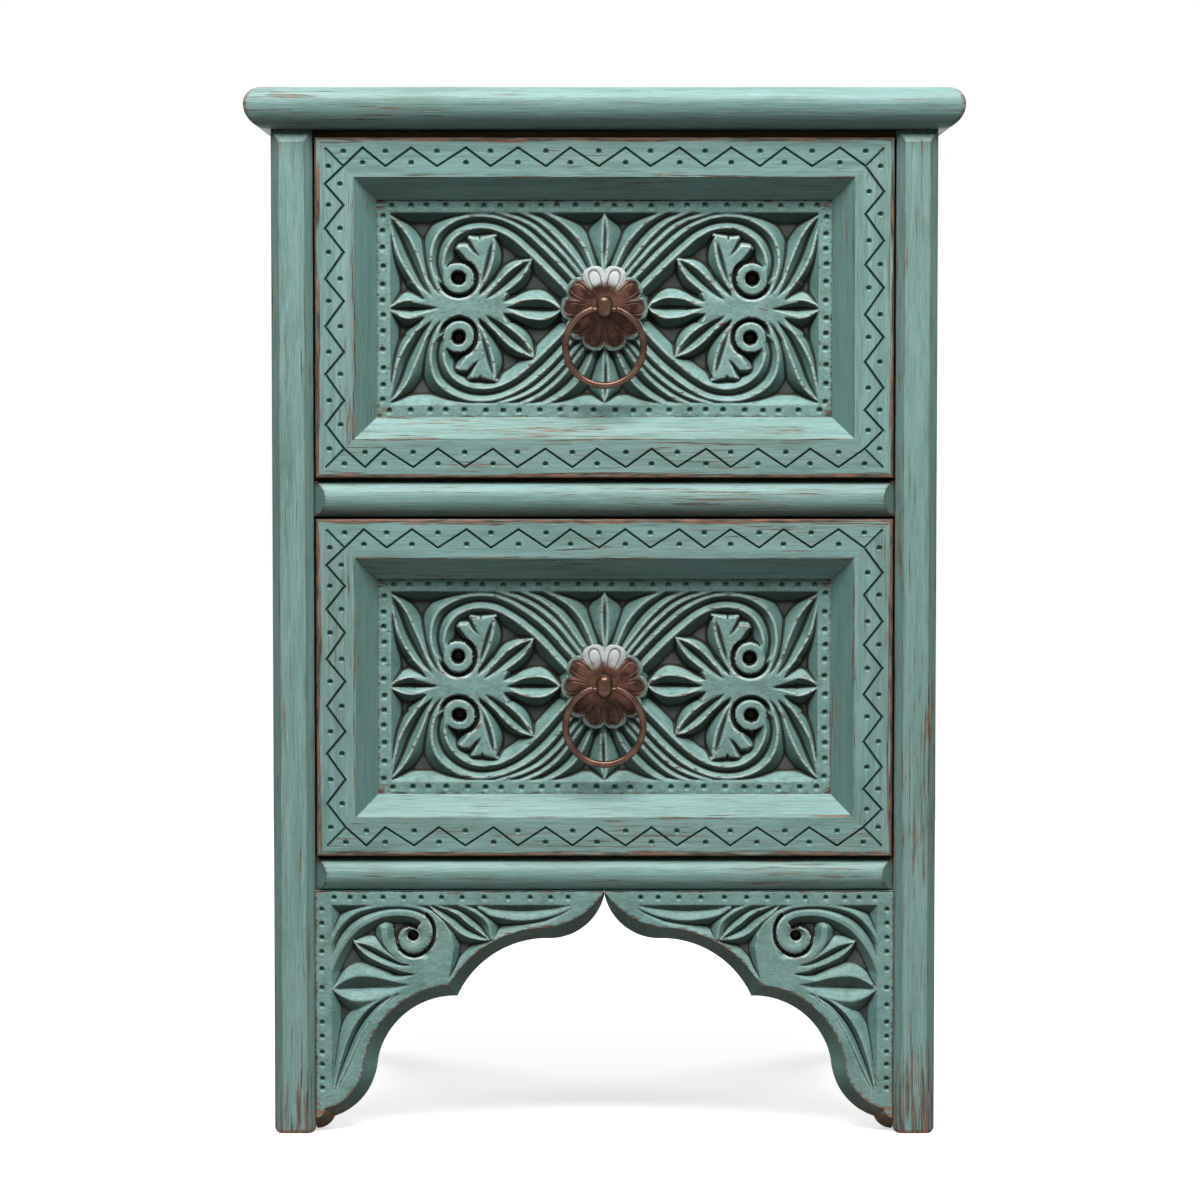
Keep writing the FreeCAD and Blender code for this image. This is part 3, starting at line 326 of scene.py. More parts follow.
BRACKET_GROUND = 5.0
BRACKET_FIELD = [
    (10.0, -9.0), (166.0, -9.0), (158.0, -15.0), (146.0, -21.0), (128.0, -25.5), (113.0, -32.0),
    (100.0, -42.0), (91.0, -51.5), (84.0, -57.0), (74.0, -59.5), (62.0, -62.0), (50.0, -68.0),
    (40.0, -77.0), (32.0, -90.0), (26.0, -103.0), (20.5, -116.0), (14.5, -126.0), (10.0, -131.4),
]
BRACKET_EYE = (61.8, -28.9)
OUTER_SCROLL = [
    (9.5, -34.0), (14.0, -24.7), (23.3, -15.4), (36.0, -10.6), (50.3, -9.3), (64.0, -10.6),
    (73.0, -15.0), (79.5, -22.0),
]
INNER_SCROLL = [
    (6.0, -60.0), (10.5, -47.0), (14.8, -38.0), (22.0, -28.0), (31.0, -20.5), (42.0, -15.8), (53.0, -14.3),
    (63.5, -16.0), (70.8, -21.0), (73.8, -28.0),
]
BRACKET_HUB = [
    (67.0, -45.0), (72.0, -42.0), (76.0, -35.0), (76.5, -26.0), (74.0, -18.5), (69.0, -13.0), (74.0, -13.5),
    (81.0, -20.0), (86.0, -28.0), (87.5, -36.0), (86.0, -46.0), (84.0, -57.0), (76.0, -60.0), (62.0, -63.0),
    (56.0, -65.0), (46.5, -66.0), (55.0, -62.7), (62.4, -59.6), (55.0, -58.9), (46.5, -57.0), (55.0, -56.4),
    (64.5, -53.2), (54.0, -51.2), (41.0, -46.0), (53.5, -49.0), (63.6, -48.0), (57.0, -46.5), (55.0, -45.0),
]
EYE_TURNS = [0, 60, 150, 240, 330]
EYE_REACH = [16.0, 13.2, 12.8, 10.7, 6.0]
EYE_HOLE = 4.3
LEG_LEAF = [(50.0, -66.0), (38.0, -74.5), (27.5, -88.0), (19.0, -107.0), (10.8, -130.5)]


def bracket_carving(x, z):
    """Depth of the carving at points measured from the post and, downwards, from the rail."""
    deep = BRACKET_GROUND
    field = within(x, z, BRACKET_FIELD)
    edge = off_line(np.array(BRACKET_FIELD + BRACKET_FIELD[:1]), x, z)[0]
    cut = np.maximum(-deep, -0.8 * edge)
    stem = [(67.0, -44.5), (56.0, -43.6), (48.8, -38.5), (44.5, -32.0), (43.5, -24.5)]
    upper = [(63.6, -48.0), (53.7, -46.9), (44.1, -43.0), (35.0, -38.2), (25.0, -32.8)]
    middle = [(62.4, -59.6), (50.0, -61.3), (32.0, -62.0), (11.0, -62.6)]
    upright = [(71.5, -8.5), (86.9, -17.0), (96.3, -24.6), (110.0, -31.4)]
    short = [(89.0, -8.0), (101.0, -13.5), (109.0, -20.5), (111.8, -30.5)]
    long = [(104.0, -11.0), (113.0, -16.0), (131.0, -18.6), (149.0, -15.8), (164.5, -9.3)]
    lands = [
        strand(x, z, OUTER_SCROLL, (1.0, 1.0), 0.6, 6.0),
        strand(x, z, INNER_SCROLL, (1.0, 0.9), 1.4, 6.5),
        flat_land(x, z, BRACKET_HUB, 1.2, 0.0),
        strand(x, z, stem, (1.1, 0.9), 1.6, 6.0),
        leaf(x, z, upper, (3.6, 3.0), (5.2, 7.4), 0.66, deep, 0.35, waist=1.2),
        leaf(x, z, middle, (8.0, 7.8), (9.0, 8.4), 0.66, deep, 0.35, 0.62, 1.3),
        leaf(x, z, LEG_LEAF, (3.0, 3.6), (7.0, 7.6), 0.4, deep, 0.25),
        leaf(x, z, upright, (3.6, 4.2), (4.6, 6.0), 0.55, deep, 0.3),
        strand(x, z, short, (1.0, 0.8), 0.4, 6.0),
        strand(x, z, long, (0.55, 1.1), 0.4, 9.0),
    ]
    for land in lands:
        cut = np.maximum(cut, land)
    cut = np.where(field, cut, 0)
    eye_x = x - BRACKET_EYE[0]
    eye_z = z - BRACKET_EYE[1]
    near = np.hypot(eye_x, eye_z)
    turn = (60 - np.degrees(np.arctan2(eye_z, eye_x))) % 360
    coil = np.interp(turn, EYE_TURNS, EYE_REACH)
    curled = turn < EYE_TURNS[-1]
    ditch = -4.2 * np.clip(1.3 - np.abs(near - coil) / 1.3, 0, 1)
    cut = np.where(curled & (np.abs(near - coil) < 1.7), np.minimum(cut, ditch), cut)
    half = (coil - EYE_HOLE) / 2
    crown = -1.6 * np.clip(np.abs(near - EYE_HOLE - half) / half, 0, 1) ** 2
    cut = np.where(curled & (near < coil - 1.3), np.maximum(cut, crown), cut)
    return np.where(near < EYE_HOLE, -np.clip((EYE_HOLE - near) * 4.0, 1.0, 8.0), cut)


def bracket_dots():
    row = [(along, -4.6) for along in (12, 22, 31, 43, 56, 67, 80, 93, 107, 122, 136, 149, 160)]
    column = [(4.1, -down) for down in (12, 21, 30, 39, 50, 62, 73, 84, 93, 103, 111, 120, 126)]
    return row + column


def shaped_piece(name, points, faces, smooth_from, material):
    """A mesh from points in millimetres; faces from smooth_from onwards are shaded as one curved face."""
    mesh = bpy.data.meshes.new(name)
    mesh.from_pydata((np.array(points) * MM).tolist(), [], faces)
    smooth = np.arange(len(mesh.polygons)) >= smooth_from
    mesh.polygons.foreach_set("use_smooth", smooth)
    mesh.materials.append(material)
    piece = bpy.data.objects.new(name, mesh)
    bpy.context.scene.collection.objects.link(piece)
    return piece


def carry(piece, name, values):
    piece.data.attributes.new(name, "FLOAT", "POINT").data.foreach_set("value", np.array(values, np.float32))


def front_rim(corners, polygons):
    """The outline of a flat front face, in order, from its triangles."""
    spots = {}
    edges = set()
    for polygon in polygons:
        ring = [spots.setdefault(tuple(np.round(corners[v, ::2], 3)), len(spots)) for v in polygon]
        for a, b in zip(ring, ring[1:] + ring[:1]):
            if (b, a) in edges:
                edges.remove((b, a))
            else:
                edges.add((a, b))
    after = dict(edges)
    order = [min(after)]
    while after[order[-1]] != order[0]:
        order.append(after[order[-1]])
    spots = list(spots)
    return [spots[i] for i in order]


# On carving the brush leaves short dabs. Hands and cloths rub the crests pale, with painted highlights along
# them; dirt stays on the ground, painted shade and dirt darken the hollows, and painted shade darkens the
# undersides of the leaves.
CARVED_MARKS = {
    "streaks": (110.0, 260.0),
    "fibres": (500.0, 1100.0),
    "rubs": (120.0, 420.0),
    "mottle": (75.0, 75.0),
}
CARVED_SHEEN = 0.07
CREST_WEAR_AND_HIGHLIGHT = (0.48, 0.56, 0.53, 1)
RAW_TIP = (0.30, 0.125, 0.068, 1)
GROUND_DARK = (0.028, 0.022, 0.020, 1)
GROUND_GREY = (0.075, 0.063, 0.063, 1)
UNDERSIDE_SHADE = (0.036, 0.043, 0.025, 1)
HOLLOW_SHADE_AND_DIRT = (0.016, 0.014, 0.009, 1)


def carved_finish(name, axis):
    """Painted carving: wear and dirt, with painted highlights on the crests and painted shade in the hollows
    and under the leaves, placed by the values that the mesh carries and by the way each face points.
    """
    paint = TealCoat(name, axis, CARVED_MARKS)
    crest = paint.maths("MULTIPLY", paint.carried("crest"), 0.24)
    foot = paint.ease(paint.above_floor, 0.03, 0.0, 0.0, 0.34)
    bare = paint.worn_through(crest, foot, 0.62, 0.76)
    handled = paint.maths("ADD", paint.carried("handled"), paint.rubs)
    bare = paint.maths("MAXIMUM", bare, paint.ease(handled, 0.66, 0.86, 0.0, 0.85))
    # Crests are painted pale, partly rubbed paint and partly a painted highlight.
    pale_and_highlight = paint.ease(paint.flecks, 0.30, 0.60, 0.3, 0.85)
    pale_and_highlight = paint.maths("MULTIPLY", paint.ease(crest, 0.04, 0.11), pale_and_highlight)
    teal = paint.mix(pale_and_highlight, paint.teal, CREST_WEAR_AND_HIGHLIGHT)
    brown = paint.mix(paint.ease(paint.above_floor, 0.035, 0.012), paint.brown, RAW_TIP)
    colour = paint.mix(bare, teal, brown)
    ground = paint.mix(paint.ease(paint.clouds, 0.35, 0.65), GROUND_DARK, GROUND_GREY)
    colour = paint.mix(paint.ease(paint.carried("ground"), 0.3, 1.0, 0.0, 0.85), colour, ground)
    # Faces that look down are darkened with painted shade.
    colour = paint.mix(paint.ease(paint.facing["Z"], -0.12, -0.60, 0.0, 0.72), colour, UNDERSIDE_SHADE)
    # Hollows are darkened with painted shade and dirt.
    colour = paint.mix(paint.ease(paint.carried("hollow"), 0.06, 0.65, 0.0, 0.95), colour, HOLLOW_SHADE_AND_DIRT)
    return paint.finished(colour, bare, CARVED_SHEEN)


carved_teal = carved_finish("carved_teal", "X")
BRACKET_STEP = 0.6
BRACKET_DOT_RADIUS = 1.9
BRACKET_DOT_DEPTH = 2.0
ROUNDED_EDGE = 0.9
NEIGHBOURS = ((0.8, 0), (-0.8, 0), (0, 0.8), (0, -0.8))


def carve_bracket(name, toward):
    """Cuts the carving into the flat face of one bracket; toward is +1 if the seam is to its right."""
    board = pieces[name].data
    corners = np.array([tuple(v.co) for v in board.vertices]) / MM
    face_y = corners[:, 1].min()
    front = []
    rest = []
    for polygon in board.polygons:
        flat = np.ptp(corners[list(polygon.vertices), 1]) < 0.01
        on_face = flat and abs(corners[polygon.vertices[0], 1] - face_y) < 0.01
        (front if on_face else rest).append(tuple(polygon.vertices))
    rim = front_rim(corners, front)
    rim_x, rim_z = np.array(rim).T
    closed_rim = np.array(rim + rim[:1])
    xs = np.arange(rim_x.min() + BRACKET_STEP / 2, rim_x.max(), BRACKET_STEP)
    zs = np.arange(rim_z.min() + BRACKET_STEP / 2, rim_z.max(), BRACKET_STEP)
    x, z = np.meshgrid(xs, zs)
    clear = off_line(closed_rim, x, z)[0] > BRACKET_STEP * 0.6
    keep = within(x, z, rim) & clear
    flat_points = [(float(px), float(pz)) for px, pz in rim + list(zip(x[keep], z[keep]))]
    loop = [(i, (i + 1) % len(rim)) for i in range(len(rim))]
    spread, _, triangles = geometry.delaunay_2d_cdt(flat_points, loop, [], 1, 1e-5)[:3]
    spread = np.array([tuple(point) for point in spread])
    along = (spread[:, 0] - (rim_x.min() if toward > 0 else rim_x.max())) * toward
    down = spread[:, 1] - rim_z.max()
    carving = bracket_carving(along, down)
    cut = carving - punched(along, down, bracket_dots(), BRACKET_DOT_RADIUS, BRACKET_DOT_DEPTH)
    cut -= np.clip(ROUNDED_EDGE - np.minimum(along, -down), 0, ROUNDED_EDGE) * 0.8
    about = np.mean([bracket_carving(along + dx, down + dz) for dx, dz in NEIGHBOURS], 0)
    round_about = np.mean([bracket_carving(along + 4 * dx, down + 4 * dz) for dx, dz in NEIGHBOURS], 0)
    proud = carving - about
    sunk = 0.32 * (round_about - cut - 0.9)
    carved = np.stack([spread[:, 0], face_y - cut, spread[:, 1]], 1)
    first = len(corners)
    faces = rest + [tuple(first + v for v in triangle) for triangle in triangles]
    bracket = shaped_piece(name + "_carved", np.vstack([corners, carved]), faces, len(rest), carved_teal)
    rim_near = off_line(closed_rim, spread[:, 0], spread[:, 1])[0]
    plain = np.zeros(first)
    # The crest value marks where paint wears through and where crests get a painted highlight.
    carry(bracket, "crest", np.concatenate([plain, np.clip(proud * 1.3, 0, 0.8)]))
    # The hollow value marks valleys and sunk places for painted shade and dirt.
    carry(bracket, "hollow", np.concatenate([plain, np.clip(-proud * 1.9 - cut * 0.03 + sunk, 0, 1)]))
    carry(bracket, "ground", np.concatenate([plain, np.clip(-cut / BRACKET_GROUND * 4 - 3, 0, 1)]))
    carry(bracket, "handled", np.concatenate([plain, np.clip(0.36 - 0.14 * rim_near, 0, 1)]))
    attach(bracket, "carcass")
    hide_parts(name)


carve_bracket("apron_bracket_left", 1)
carve_bracket("apron_bracket_right", -1)

# Glue blocks, runners and kickers
# Bare hardwood inside the carcass: blocks hold the brackets, the drawers slide on the
# runners, and the kickers keep the upper drawer from tipping.
wood_deep = planed_wood("wood_deep", "Y")
cover(wood_across, ["bracket_blocks"])
cover(wood_deep, both_sides("upper_runner") + both_sides("lower_runner") + both_sides("kicker"))

# Screws
# Countersunk steel screws, driven up through the front and back top rails into the top
# board, and out through the runners into the sides. The steel has gone dull.


def dull_steel(name):
    steel = Finish(name)
    steel.put(steel.surface.inputs["Metallic"], 1.0)
    specks = steel.noise((900.0, 900.0, 900.0))
    colour = steel.mix(steel.ease(specks, 0.35, 0.7), (0.22, 0.21, 0.20, 1), (0.48, 0.47, 0.45, 1))
    steel.looks(colour, steel.ease(specks, 0.3, 0.7, 0.35, 0.6))
    steel.bump(specks, 0.0002, 0.3)
    return steel.material


screw_steel = dull_steel("screw_steel")
cover(screw_steel, ["top_screws", "runner_screws"])

# Drawer fronts
# Each front is four bars mitred round a panel, with a zigzag and dots cut into the flat band and a broad
# bevel falling to the panel. Paint is rubbed off the edges, and painted shade darkens the zigzag and the
# dots.
drawers = ("upper_drawer", "lower_drawer")
FRONT_BAND = 0.0245
WORN_BEHIND = 0.003
# Painted shade for the zigzag and the dots.
GROOVE_SHADE = (0.018, 0.018, 0.013, 1)


def front_edges(low, high):
    """The outer edges of one drawer front, and the line where its band meets the bevel."""
    def rubbed(paint):
        place = paint.node("ShaderNodeSeparateXYZ", {0: paint.place()})
        margins = []
        for axis in "XZ":
            near = getattr(low, axis.lower())
            far = getattr(high, axis.lower())
            margins.append(paint.maths("SUBTRACT", place.outputs[axis], near))
            margins.append(paint.maths("SUBTRACT", far, place.outputs[axis]))
        margin = margins[0]
        for other in margins[1:]:
            margin = paint.maths("MINIMUM", margin, other)
        behind = paint.maths("MAXIMUM", paint.maths("SUBTRACT", place.outputs["Y"], low.y + WORN_BEHIND), 0.0)
        outer = paint.ease(paint.maths("ADD", margin, behind), 0.0060, 0.0, 0.0, 0.36)
        off_band = paint.maths("ABSOLUTE", paint.maths("SUBTRACT", margin, FRONT_BAND), 0.0)
        return paint.maths("MAXIMUM", outer, paint.ease(off_band, 0.0040, 0.0, 0.0, 0.18))
    return rubbed


def shade_in_grooves(paint, colour):
    """Painted shade in the zigzag and the dots, darkest where they see little open air."""
    open_air = paint.node("ShaderNodeAmbientOcclusion", {"Distance": 0.0018}, only_local=True, samples=6)
    cut_in = paint.ease(open_air.outputs["AO"], 0.72, 0.40, 0.0, 0.7)
    return paint.mix(cut_in, colour, GROOVE_SHADE)


for drawer in drawers:
    front_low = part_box(drawer + "_front_left_bar")[0]
    front_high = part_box(drawer + "_front_right_bar")[1]
    edges = front_edges(front_low, front_high)
    across = worn_teal(drawer + "_teal_across", "X", edges, shade_in_grooves)
    upright = worn_teal(drawer + "_teal_upright", "Z", edges, shade_in_grooves)
    cover(across, [drawer + "_front_top_bar", drawer + "_front_bottom_bar"])
    cover(upright, [drawer + "_front_left_bar", drawer + "_front_right_bar"])

# Carved panels
# A hardwood panel in each drawer front, carved in relief with scrolls and leaves round
# a seat for the pull, inside a narrow border of punched dots. Each was cut by hand,
# so the same pattern wanders a little and no two quarters match.
PANEL_GROUND = 6.5
PANEL_OPENING = (143.5, 68.4)
PANEL_FIELD = (135.5, 60.4)
PANEL_EYE = (-92.4, 18.4)
PANEL_EYE_HOLE = 4.8
PANEL_HUB = [
    (-103.0, -2.0), (-104.0, 0.0), (-112.0, 2.0), (-121.0, 4.4), (-112.6, 5.2), (-116.0, 10.2),
    (-121.5, 17.0), (-114.0, 10.8), (-108.2, 6.4), (-110.0, 11.8), (-113.6, 20.0), (-108.0, 11.2),
    (-103.2, 6.6), (-104.2, 11.0), (-106.8, 20.0), (-102.0, 13.0), (-98.0, 6.0), (-86.0, 6.0),
    (-82.5, 12.0), (-81.0, 9.0), (-80.1, 6.2),
    (-75.0, 9.6), (-69.0, 15.0), (-73.5, 8.4), (-77.0, 4.2), (-70.0, 5.6), (-62.0, 9.4), (-64.7, 3.2),
    (-58.0, 3.6), (-50.0, 5.6), (-57.0, 2.2), (-63.0, 0.0), (-64.0, -2.0),
]
PANEL_STRANDS = [
    [(-101.0, 6.5), (-104.8, 12.5), (-107.6, 19.5), (-109.6, 28.5), (-108.6, 38.8), (-104.5, 47.3),
     (-97.0, 53.4), (-87.6, 57.1), (-78.2, 58.1), (-68.8, 57.1), (-59.4, 53.7), (-50.0, 48.2),
     (-40.5, 40.7), (-31.1, 31.7), (-14.0, 13.0)],
    [(-97.8, 13.6), (-99.6, 18.4), (-100.8, 23.0), (-101.4, 29.4), (-99.4, 36.9), (-94.2, 44.4),
     (-85.7, 49.3), (-76.3, 50.6), (-66.9, 48.7), (-57.5, 43.7), (-49.0, 36.9), (-38.7, 27.5), (-18.0, 6.0)],
    [(-67.9, 60.4), (-54.7, 56.2), (-44.3, 51.0), (-34.9, 43.5), (-25.5, 34.1), (-10.0, 15.0)],
    [(-53.8, 60.9), (-42.4, 55.7), (-33.0, 48.7), (-23.6, 38.8), (-8.0, 18.0)],
    [(-38.8, 60.9), (-27.4, 54.8), (-18.9, 47.3), (-12.3, 37.9), (-5.0, 20.0)],
]
PANEL_FAN = [
    (-80.3, 6.0), (-78.9, 16.7), (-75.7, 30.7), (-71.3, 44.7), (-68.6, 45.5), (-76.6, 43.9), (-78.0, 41.3),
    (-79.4, 43.6), (-84.2, 44.3), (-81.1, 37.5), (-77.7, 31.2), (-82.5, 34.7), (-86.5, 39.1), (-91.0, 39.1),
    (-92.0, 37.8), (-89.0, 34.1), (-82.5, 25.7), (-80.2, 20.0), (-80.3, 15.0), (-82.5, 9.4),
]
CORNER_LEAF = [(-108.2, 6.5), (-115.6, 16.0), (-123.8, 32.2), (-129.0, 45.5), (-135.3, 58.6)]
EYE_DITCH_RADIUS = 11.4
PULL_SEAT_RADIUS = 24.0
PULL_BORE_RADIUS = 3.4
PULL_BORE_DEPTH = 11.8
BORDER_DOT_RADIUS = 2.15
BORDER_DOT_DEPTH = 2.2
GRID_ACROSS = 440
GRID_UP = 212


def panel_carving(x, z):
    """Depth of the carving in the quarter to the left of and above the middle of the panel."""
    deep = PANEL_GROUND
    edge = np.minimum(PANEL_FIELD[0] + x, PANEL_FIELD[1] - z)
    cut = np.maximum(-deep, -np.clip(edge, 0, None))
    lands = [strand(x, z, line) for line in PANEL_STRANDS]
    slanting = [(-77.0, 4.3), (-68.8, 10.2), (-58.6, 19.2), (-45.4, 30.9)]
    upper = [(-80.5, 9.5), (-77.0, 19.0), (-73.6, 30.0), (-69.8, 45.0)]
    lands += [
        leaf(x, z, [(-103.0, 0), (-136.0, 0)], (5.4, 5.4), (6.2, 6.2), 0.6, deep),
        leaf(x, z, CORNER_LEAF, (5.2, 5.2), (5.5, 7.4), 0.55, deep),
        leaf(x, z, [(-64.0, 0), (-27.4, 0)], (6.4, 6.4), (6.6, 6.6), 0.62, deep),
        leaf(x, z, slanting, (4.2, 4.2), (5.0, 5.6), 0.6, deep),
        leaf(x, z, upper, (2.4, 2.4), (2.0, 6.2), 0.6, deep),
        flat_land(x, z, PANEL_FAN, 1.5, -0.3),
        flat_land(x, z, PANEL_HUB, 1.4, 0.0),
    ]
    for land in lands:
        cut = np.maximum(cut, land)
    eye_x = x - PANEL_EYE[0]
    eye_z = z - PANEL_EYE[1]
    near = np.hypot(eye_x, eye_z)
    turn = np.degrees(np.arctan2(eye_z, eye_x)) % 360
    joined = np.clip(1.5 - np.abs(turn - 160) / 38, 0, 1)
    collar = -1.4 * np.clip(near - 13.2, 0, None) - 1.2 * np.clip(eye_z + 5.0, 0, None)
    cut = np.maximum(cut, np.where(eye_x > -9.0, collar, -99))
    off_ditch = np.abs(near - EYE_DITCH_RADIUS)
    ditch = -4.6 * (1 - joined) * np.clip(1.3 - off_ditch / 1.5, 0, 1)
    cut = np.where(off_ditch < 1.9, np.minimum(cut, ditch), cut)
    crown = -0.14 * np.clip(np.abs(near - 7.4) - 1.0, 0, None) ** 2
    cut = np.where(near < 9.8, np.maximum(crown, np.where(joined > 0.6, cut, -99)), cut)
    cut = np.where(near < PANEL_EYE_HOLE, -np.clip((PANEL_EYE_HOLE - near) * 5, 0, 9.0), cut)
    cut = np.maximum(cut, leaf(x, z, [(0, 22), (0, 59.5)], (1.7, 1.7), (9.8, 9.8), 0.62, deep, 0.03))
    return np.maximum(cut, -1.2 * np.clip(np.hypot(x, z) - PULL_SEAT_RADIUS, 0, None))


def panel_dots(seed):
    across = np.linspace(-134.5, 134.5, 24)
    up = np.linspace(-58.0, 58.0, 12)
    dots = []
    for end in (-1, 1):
        dots += [(x + 1.3 * math.sin(2.3 * x + seed + end), end * 64.4 + 0.3 * math.sin(x)) for x in across]
        dots += [(end * 139.7 + 0.3 * math.sin(z), z + 1.2 * math.sin(1.9 * z + seed + end)) for z in up]
    return dots


def softened(grid, size):
    """Each height averaged with its neighbours."""
    for axis in (0, 1):
        grid = np.mean([np.roll(grid, shift, axis) for shift in range(-size, size + 1)], axis=0)
    return grid


def carve_panel(drawer, seed):
    """A closed board whose front is a fine grid cut to the depth of the carving."""
    low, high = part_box(drawer + "_carved_panel")
    low = np.array(low) / MM
    high = np.array(high) / MM
    middle = (low + high) / 2
    xs = np.linspace(-PANEL_OPENING[0], PANEL_OPENING[0], GRID_ACROSS)
    zs = np.linspace(-PANEL_OPENING[1], PANEL_OPENING[1], GRID_UP)
    x, z = np.meshgrid(xs, zs)
    fade = np.clip(np.minimum(PANEL_FIELD[0] - np.abs(x), PANEL_FIELD[1] - np.abs(z)) / 12, 0, 1)
    wander_x = 0.5 * np.sin(0.05 * z + 0.03 * x + seed) + 0.35 * np.sin(0.11 * x - 0.07 * z + 2 * seed)
    wander_z = 0.5 * np.sin(0.045 * x + 1.3 + seed) + 0.35 * np.sin(0.09 * z + 0.06 * x + 3 * seed)
    quarter_x = -np.abs(x + wander_x * fade)
    quarter_z = np.abs(z + wander_z * fade)
    field = (np.abs(x) < PANEL_FIELD[0]) & (np.abs(z) < PANEL_FIELD[1])
    cut = np.where(field, panel_carving(quarter_x, quarter_z), 0)
    cut += 0.2 * (softened(cut, 1) - cut)
    sunk = softened(cut, 2) - cut
    eye_near = np.hypot(quarter_x - PANEL_EYE[0], quarter_z - PANEL_EYE[1])
    # The crest value marks where paint wears through and where crests get a painted highlight.
    crest = np.clip(-sunk, 0, 0.8) * np.clip((eye_near - 10.5) / 3, 0.45, 1)
    # The hollow value marks valleys and sunk places for painted shade and dirt, and the eye hole for full
    # painted shade.
    hollow = np.clip(1.5 * sunk - cut * 0.03 + 0.32 * (softened(cut, 6) - cut - 0.9), 0, 1)
    hollow = np.where(eye_near < PANEL_EYE_HOLE - 0.2, 1.0, hollow)
    ground = np.clip(-cut / PANEL_GROUND * 5 - 4, 0, 1)
    cut -= punched(x, z, panel_dots(seed), BORDER_DOT_RADIUS, BORDER_DOT_DEPTH)
    cut = np.where(np.hypot(x, z) < PULL_BORE_RADIUS, -PULL_BORE_DEPTH, cut)
    wide_x = np.concatenate([[low[0] - middle[0]], xs, [high[0] - middle[0]]])
    wide_z = np.concatenate([[low[2] - middle[2]], zs, [high[2] - middle[2]]])
    border = np.minimum(PANEL_OPENING[0] - np.abs(x), PANEL_OPENING[1] - np.abs(z))
    corner = np.hypot(PANEL_OPENING[0] - np.abs(x), PANEL_OPENING[1] - np.abs(z))
    handled = np.clip(np.maximum(0.27 - 0.10 * border, 0.40 - 0.03 * corner), 0, 1)
    cut = np.pad(cut, 1)
    grid_x, grid_z = np.meshgrid(wide_x, wide_z)
    points = np.stack([grid_x + middle[0], low[1] - cut, grid_z + middle[2]], -1).reshape(-1, 3)
    rows, columns = cut.shape
    index = np.arange(rows * columns).reshape(rows, columns)
    back = [
        (low[0], high[1], low[2]),
        (high[0], high[1], low[2]),
        (high[0], high[1], high[2]),
        (low[0], high[1], high[2]),
    ]
    a, b, c, d = range(rows * columns, rows * columns + 4)
    sides = [
        (a, b, c, d),
        (b, a) + tuple(index[0, :].tolist()),
        (c, b) + tuple(index[:, -1].tolist()),
        (d, c) + tuple(index[-1, ::-1].tolist()),
        (a, d) + tuple(index[::-1, 0].tolist()),
    ]
    quads = np.stack([index[:-1, :-1], index[:-1, 1:], index[1:, 1:], index[1:, :-1]], -1).reshape(-1, 4)
    faces = sides + [tuple(quad) for quad in quads.tolist()]
    panel = shaped_piece(drawer + "_panel_carving", np.vstack([points, back]), faces, len(sides), carved_teal)
    marks = {"crest": crest, "hollow": hollow, "ground": ground, "handled": handled}
    for name, grid in marks.items():
        carry(panel, name, np.concatenate([np.pad(grid, 1).ravel(), np.zeros(len(back))]))
    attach(panel, drawer)
    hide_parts(drawer + "_carved_panel")


carve_panel("upper_drawer", 1.0)
carve_panel("lower_drawer", 2.6)

# Drawer boxes
# Plain unpainted boxes of planed boards behind the fronts. The thin bottom lies in
# grooves and is nailed up into the box back.
for drawer in drawers:
    cover(wood_across, [drawer + "_box_front", drawer + "_box_back", drawer + "_box_bottom"])
    cover(wood_deep, both_sides(drawer + "_box_side"))
    cover(screw_steel, [drawer + "_box_nails"])

# Pulls
# A beaten copper rosette of ten petals lies on the panel, under a turned knob whose
# shank runs through to a nut inside the drawer. A ring hangs from a pin in the knob.
# The copper has gone brown, and green where the hand does not reach.
PETALS = 10
PETAL_STEPS = 40
ROSETTE_RINGS = 56
ROSETTE_BORE = 2.7
ROSETTE_EDGE = 1.5
ROSETTE_DOME = 5.2
PETAL_VALLEY = 1.5
PETAL_LIP = 0.5
ENGRAVED_DEPTH = 0.55
THINNEST_COPPER = 0.4
COPPER_SHEEN = 0.1


def old_copper(name, metal, dark, light, dents, patina):
    """Brown copper; with a patina it has green rims, dark engraved loops, and top petals painted pale, partly
    verdigris and partly a painted reflection.
    """
    copper = Finish(name)
    copper.put(copper.surface.inputs["Metallic"], metal)
    clouds = copper.noise((120.0, 120.0, 120.0), 4.0)
    specks = copper.noise((800.0, 800.0, 800.0), 3.0)
    colour = copper.mix(copper.ease(clouds, 0.35, 0.65), dark, light)
    gloss = copper.ease(clouds, 0.3, 0.7, 0.24, 0.36)
    colour = copper.mix(copper.ease(specks, 0.55, 0.78, 0.0, 0.5), colour, (0.06, 0.027, 0.018, 1))
    if patina:
        rim = copper.maths("ADD", copper.carried("rim"), copper.maths("MULTIPLY", clouds, 0.5))
        green = copper.mix(copper.ease(specks, 0.4, 0.65), (0.13, 0.21, 0.19, 1), (0.26, 0.34, 0.32, 1))
        colour = copper.mix(copper.ease(rim, 0.92, 1.20, 0.0, 0.8), colour, green)
        # Top petals are painted pale: partly verdigris, partly a painted reflection of the lamp above.
        pale_and_highlight = copper.ease(copper.maths("ADD", copper.carried("pale_and_highlight"), clouds), 0.75, 1.25, 0.0, 0.9)
        colour = copper.mix(pale_and_highlight, colour, (0.38, 0.41, 0.405, 1))
        colour = copper.mix(copper.carried("groove"), colour, (0.020, 0.012, 0.009, 1))
        gloss = copper.maths("ADD", gloss, copper.maths("MULTIPLY", pale_and_highlight, 0.22))
    copper.looks(colour, gloss, COPPER_SHEEN)
    copper.bump(copper.maths("ADD", clouds, copper.maths("MULTIPLY", specks, 0.3)), 0.0004, dents)
    return copper.material


